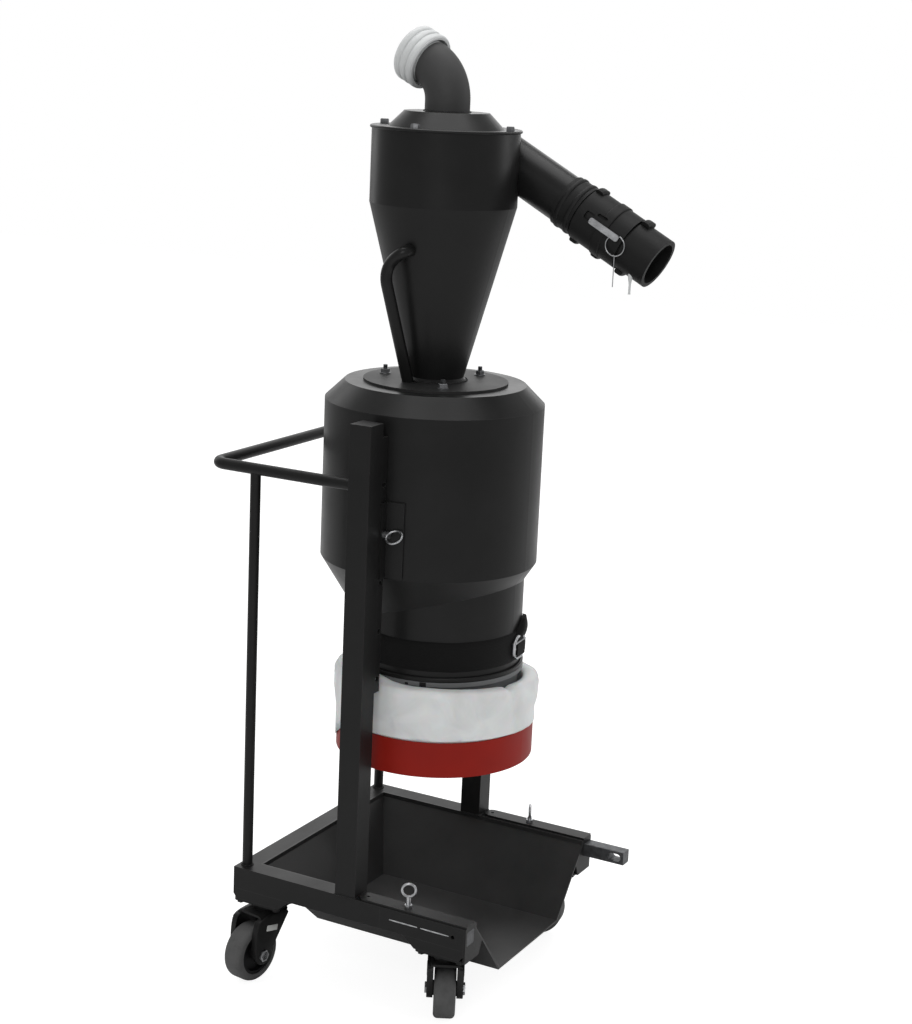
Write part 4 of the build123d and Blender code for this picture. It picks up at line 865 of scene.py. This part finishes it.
def strapTail():
    # the free end, pulled through the buckle and tapering up the neck
    v = tailValues
    rows = []
    for i in range(v["steps"] + 1):
        share = i / v["steps"]
        z = v["low"] + (v["high"] - v["low"]) * share
        bow = v["stand"] * math.sin(math.pi * (share * v["bowSpan"] + v["bowFrom"])) ** 1.3
        proud = strapValues["thick"] + v["gap"] + bow + v["thick"]
        azimuth = v["azimuth"] + (v["azimuthTop"] - v["azimuth"]) * share
        halfTurn = v["halfTurn"] + (v["halfTurnTop"] - v["halfTurn"]) * share
        row = []
        for side in (1, 0):
            for k in range(v["across"] + 1):
                across = 2 * (k / v["across"] if side else 1 - k / v["across"]) - 1
                reach = strapValues["reach"] + (v["seat"] + proud * (1 - across ** 6) if side else 0.0)
                row.append(around(neckAxis, reach, azimuth + halfTurn * across, z))
        rows.append(row)
    mesh = gridMesh("strapTail", rows, False, True)
    strapUv(mesh, v["across"], (v["high"] - v["low"]) / v["steps"], v["width"])
    return capped(mesh)


strap = finishMesh("neckStrapWebbing", strapBand(), "strap", sharpFrom=40)
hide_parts("neck_strap")
buckleMesh, leverMesh = buckleMeshes()
buckle = finishMesh("camBuckle", buckleMesh, "zinc")
finishMesh("camBuckleLever", leverMesh, "strap")
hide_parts("strap_buckle")
finishMesh("neckStrapTail", strapTail(), "strap", sharpFrom=40)
print("strap and buckle made")

# casters: dished cheeks on the forks, axle nuts and bare label places
casterValues = {
    "headings": {"near_rear": -99, "near_front": 118, "far_rear": 99, "far_front": 190},
    # outline of a cheek: ahead of the axle, above the axle
    "outline": ((-69, 71), (10, 71), (19, 50), (20.5, 6), (15, -12), (0, -18.5), (-15, -12), (-24, 8),
                (-54, 50)),
    "inner": 20.6, "outer": 31.6, "wall": 2.4, "edge": 1.3, "seat": 29.3,
    "nutAcross": 19, "nutHeight": 3.4, "nutTurn": 0.4,
    "labelPlace": (-20.5, 46.5), "labelSize": (28, 10.5), "labelTilt": 11, "labelThick": 0.6,
    "labelCut": 1, "labelGap": 0.02, "labelEdge": 0.4,
}


def labelOutline():
    # a tilted rectangle with its corners cut
    v = casterValues
    (x, y), (w, h), cut = v["labelPlace"], (size / 2 for size in v["labelSize"]), v["labelCut"]
    c, s = math.cos(math.radians(v["labelTilt"])), math.sin(math.radians(v["labelTilt"]))
    corners = ((-w, cut - h), (cut - w, -h), (w - cut, -h), (w, cut - h),
               (w, h - cut), (w - cut, h), (cut - w, h), (-w, h - cut))
    return [(x + a * c - b * s, y + a * s + b * c) for a, b in corners]


def dressCaster(name, heading):
    v = casterValues
    c, s = math.cos(math.radians(heading)), math.sin(math.radians(heading))
    ahead, side = Vector((c, s, 0)), Vector((s, -c, 0))
    wheel, body = midOf(name + "_tyre"), name + "_swivel"
    outline, label = smoothOutline(v["outline"], 2), labelOutline()
    outer, edge, thick = v["outer"], v["edge"], v["labelThick"]
    # each layer is (outline, inset, distance out from the wheel's middle)
    cheekLayers = ((outline, v["wall"], v["seat"]), (outline, v["wall"], v["inner"]),
                   (outline, 0, v["inner"]), (outline, 0, outer - edge),
                   (outline, edge * 0.35, outer - edge * 0.3), (outline, edge, outer))
    labelLayers = ((label, 0, outer + v["labelGap"]), (label, 0, outer + thick * 0.6),
                   (label, v["labelEdge"], outer + thick))
    cheeks, nuts, labels = [], [], []
    for way in (1, -1):
        def at(point, out):
            return wheel + ahead * (point[0] * mm) + upward * (point[1] * mm) + side * (way * out * mm)

        for layers, meshes in ((cheekLayers, cheeks), (labelLayers, labels)):
            rows = [[at(p, out) for p in inset(points, cut)] for points, cut, out in layers]
            meshes.append(capped(gridMesh(name + "Layers", rows, False, True)))
        nuts.append((at((0, 0), outer), side * way))
    finishMesh(name + "_fork_cheeks", joined(name + "Cheeks", cheeks), "pressedBlack", body, 40)
    finishMesh(name + "_label_places", joined(name + "Labels", labels), "label", body, 40)
    nut = hexHead(name + "Nut", v["nutAcross"], v["nutHeight"])
    setOnPoints(name + "_axle_nuts", nut, nuts, "zinc", v["nutTurn"], body)


for casterName, casterHeading in casterValues["headings"].items():
    dressCaster(casterName, casterHeading)
print("casters dressed")

# painted shade: thin black patches on the cassette core stand for the dark inside of its seam gap and a small
# hole, seen between the lip and the film:
# azimuth from and to, height from and to
coreValues = {"seat": 150.6, "reach": 151.4, "steps": 8,
              "marks": ((287.4, 291.6, 556, 573.6), (277.6, 279.7, 567, 570.6))}


def coreShadePatch(start, end, low, high):
    v = coreValues
    section = ((v["seat"], low), (v["reach"], low), (v["reach"], high), (v["seat"], high))
    rows = []
    for step in range(v["steps"] + 1):
        azimuth = start + (end - start) * step / v["steps"]
        rows.append([around(neckAxis, r, azimuth, z) for r, z in section])
    return capped(gridMesh("coreShadePatch", rows, False, True))


coreShadePatches = joined("cassetteCoreMarks", [coreShadePatch(*mark) for mark in coreValues["marks"]])
# the patches are black rubber only as painted shade for the openings
finishMesh("cassetteCoreMarks", coreShadePatches, "rubber")

# guides: bright zinc strips set nearly flush in the slots, as painted light for the shaded bar face behind
# them
guideValues = {
    "slotStarts": (51.4, 112.4), "slotLength": 55.4, "slotHeight": 2.6, "middle": 180.5,
    "low": 243.4, "high": 246.3, "edge": 0.3, "shoulder": 0.4,
}


def slotPaintedLightStrip(side, start):
    v = guideValues
    halfHeight = v["slotHeight"] / 2
    outline = rectangle(start, start + v["slotLength"], v["middle"] - halfHeight, v["middle"] + halfHeight)
    ring = smoothOutline(outline, 1)
    layers = ((v["low"], 0), (v["high"] - v["shoulder"], 0), (v["high"], v["edge"]))
    rows = [[Vector((x, side * out, z)) * mm for x, z in inset(ring, cut)] for out, cut in layers]
    return capped(gridMesh("slotPaintedLightStrip", rows, False, True))


strips = [slotPaintedLightStrip(side, start) for side in (-1, 1) for start in guideValues["slotStarts"]]
finishMesh("guideSlotStrips", joined("guideSlotStrips", strips), "zinc", sharpFrom=40)

# weld beads on the trolley: post feet, rod feet and the push handle's ends
beadValues = {
    "postFoot": 1.6, "rodFoot": 1.5, "handleEnd": 1.6, "rodReach": 9.6, "handleReach": 10.6, "lift": 0.6,
    "rodSteps": 40, "handleSteps": 44, "finePitch": 2.6, "fineDepth": 0.25,
}


def trolleyWelds():
    v = beadValues
    postLow, postHigh = boxOf("posts")
    rodLow, rodHigh = boxOf("handle_rods")
    handleLow, handleHigh = boxOf("push_handle")
    lift, postSize = v["lift"] * mm, postHigh.x - postLow.x
    rodRadius, handleRadius = (rodHigh.x - rodLow.x) / 2, (handleHigh.z - handleLow.z) / 2
    handleZ = (handleLow.z + handleHigh.z) / 2
    postFeet, rodFeet, handleEnds = [], [], []
    for side in (-1, 1):
        foot = rectangle(postLow.x, postHigh.x, side * (postHigh.y - postSize), side * postHigh.y)
        postFeet.append([Vector((x, y, postLow.z + lift)) for x, y in foot])
        rodMiddle = Vector(((rodLow.x + rodHigh.x) / 2, side * (rodHigh.y - rodRadius), rodLow.z + lift))
        rodFeet.append(ringPoints(rodMiddle, (0, 0, 1), v["rodReach"], v["rodSteps"]))
        handleMiddle = Vector((handleHigh.x - lift, side * (handleHigh.y - handleRadius), handleZ))
        handleEnds.append(ringPoints(handleMiddle, (1, 0, 0), v["handleReach"], v["handleSteps"]))
    weldBead("postFootWelds", postFeet, v["postFoot"], "frameBlack")
    weldBead("rodFootWelds", rodFeet, v["rodFoot"], "frameBlack", v["finePitch"], v["fineDepth"])
    weldBead("handleEndWelds", handleEnds, v["handleEnd"], "frameBlack", v["finePitch"], v["fineDepth"])


trolleyWelds()
print("guides and welds made")

# camera: place in mm, angles in degrees
cameraValues = {"place": (1600.6, -2984.0, 1646.0), "yaw": 28.0, "pitch": -13.4, "roll": -2.6, "lens": 70.34,
                "near": 0.05, "far": 60}


def photoCamera():
    v = cameraValues
    data = bpy.data.cameras.new("photoCamera")
    data.lens, data.clip_start, data.clip_end = v["lens"], v["near"], v["far"]
    camera = bpy.data.objects.new("photoCamera", data)
    scene.collection.objects.link(camera)
    yaw, pitch, roll = (math.radians(v[k]) for k in ("yaw", "pitch", "roll"))
    forward = Vector((-math.sin(yaw) * math.cos(pitch), math.cos(yaw) * math.cos(pitch), math.sin(pitch)))
    right = Vector((math.cos(yaw), math.sin(yaw), 0))
    above = right.cross(forward)
    tiltedRight = right * math.cos(roll) - above * math.sin(roll)
    tiltedUp = right * math.sin(roll) + above * math.cos(roll)
    turn = Matrix((tiltedRight, tiltedUp, -forward)).transposed()
    camera.matrix_world = Matrix.Translation(Vector(v["place"]) * mm) @ turn.to_4x4()
    scene.camera = camera


lampAim = Vector((0, 0, 0.8))
lampValues = (
    # name, place in metres, size in metres, watts
    ("leftSoftbox", (-3.7, 1.2, 2.3), (1.1, 2.8), 14),
    ("rightSoftbox", (2.6, 2.5, 2.1), (1.1, 2.6), 21),
    ("frontSoftbox", (1.6, -4.4, 3.2), (2.4, 2.0), 56),
    ("topSoftbox", (-0.3, 0.5, 4.6), (3.0, 3.0), 92),
    ("backSoftbox", (-2.2, 4.2, 2.7), (4.4, 3.2), 50),
)


def softbox(name, place, size, watts):
    data = bpy.data.lights.new(name, "AREA")
    data.shape = "RECTANGLE"
    data.size, data.size_y = size
    data.energy = watts
    lamp = bpy.data.objects.new(name, data)
    lamp.location = place
    lamp.rotation_mode = "QUATERNION"
    lamp.rotation_quaternion = (lampAim - Vector(place)).to_track_quat("-Z", "Y")
    scene.collection.objects.link(lamp)


worldValues = {"light": 0.38, "seen": 1.0, "glossShare": 0.12}


def whiteWorld():
    # full white where the camera looks at it or through clear things, dimmer as a light and in reflections
    world = bpy.data.worlds.new("studio")
    scene.world = world
    world.use_nodes = True
    tree = world.node_tree
    background = tree.nodes["Background"]
    background.inputs["Color"].default_value = (1, 1, 1, 1)
    ray = addNode(tree, "ShaderNodeLightPath").outputs
    direct = addNode(tree, "ShaderNodeMath", {"operation": "MAXIMUM"},
                     links={0: ray["Is Camera Ray"], 1: ray["Is Transmission Ray"]})
    mirrored = addNode(tree, "ShaderNodeMath", {"operation": "MULTIPLY"}, {1: worldValues["glossShare"]},
                       {0: ray["Is Glossy Ray"]})
    whiteness = addNode(tree, "ShaderNodeMath", {"operation": "MAXIMUM"}, links={0: direct, 1: mirrored})
    strength = addNode(tree, "ShaderNodeMapRange", links={"Value": whiteness},
                       inputs={"To Min": worldValues["light"], "To Max": worldValues["seen"]})
    tree.links.new(strength.outputs[0], background.inputs["Strength"])


floorValues = {"reach": 9, "colour": "#f4f4f4", "glow": 1.6, "glowShare": 0.55}


def studioFloor():
    # white floor, partly glowing to the camera so that it meets the background while shadows still show
    v = floorValues
    reach = v["reach"]
    mesh = bpy.data.meshes.new("studioFloor")
    mesh.from_pydata([(x, y, 0) for x, y in rectangle(-reach, reach, -reach, reach)], [], [(0, 1, 2, 3)])
    made = bpy.data.objects.new("studioFloor", mesh)
    scene.collection.objects.link(made)
    paint, tree, shader = newMaterial("white studio floor", Roughness=0.9, Specular_IOR_Level=0.1)
    shader.inputs["Base Color"].default_value = linear(v["colour"])
    ray = addNode(tree, "ShaderNodeLightPath").outputs
    glow = addNode(tree, "ShaderNodeEmission", inputs={"Color": (1, 1, 1, 1), "Strength": v["glow"]})
    share = addNode(tree, "ShaderNodeMath", {"operation": "MULTIPLY"}, {1: v["glowShare"]},
                    {0: ray["Is Camera Ray"]})
    mix = addNode(tree, "ShaderNodeMixShader", links={0: share, 1: shader.outputs[0], 2: glow.outputs[0]})
    tree.links.new(mix.outputs[0], tree.nodes["Material Output"].inputs["Surface"])
    mesh.materials.append(paint)
    return made


photoCamera()
for lamp in lampValues:
    softbox(*lamp)
whiteWorld()
floor = studioFloor()
scene.view_settings.view_transform = "Standard"
print("camera, lamps and floor placed")
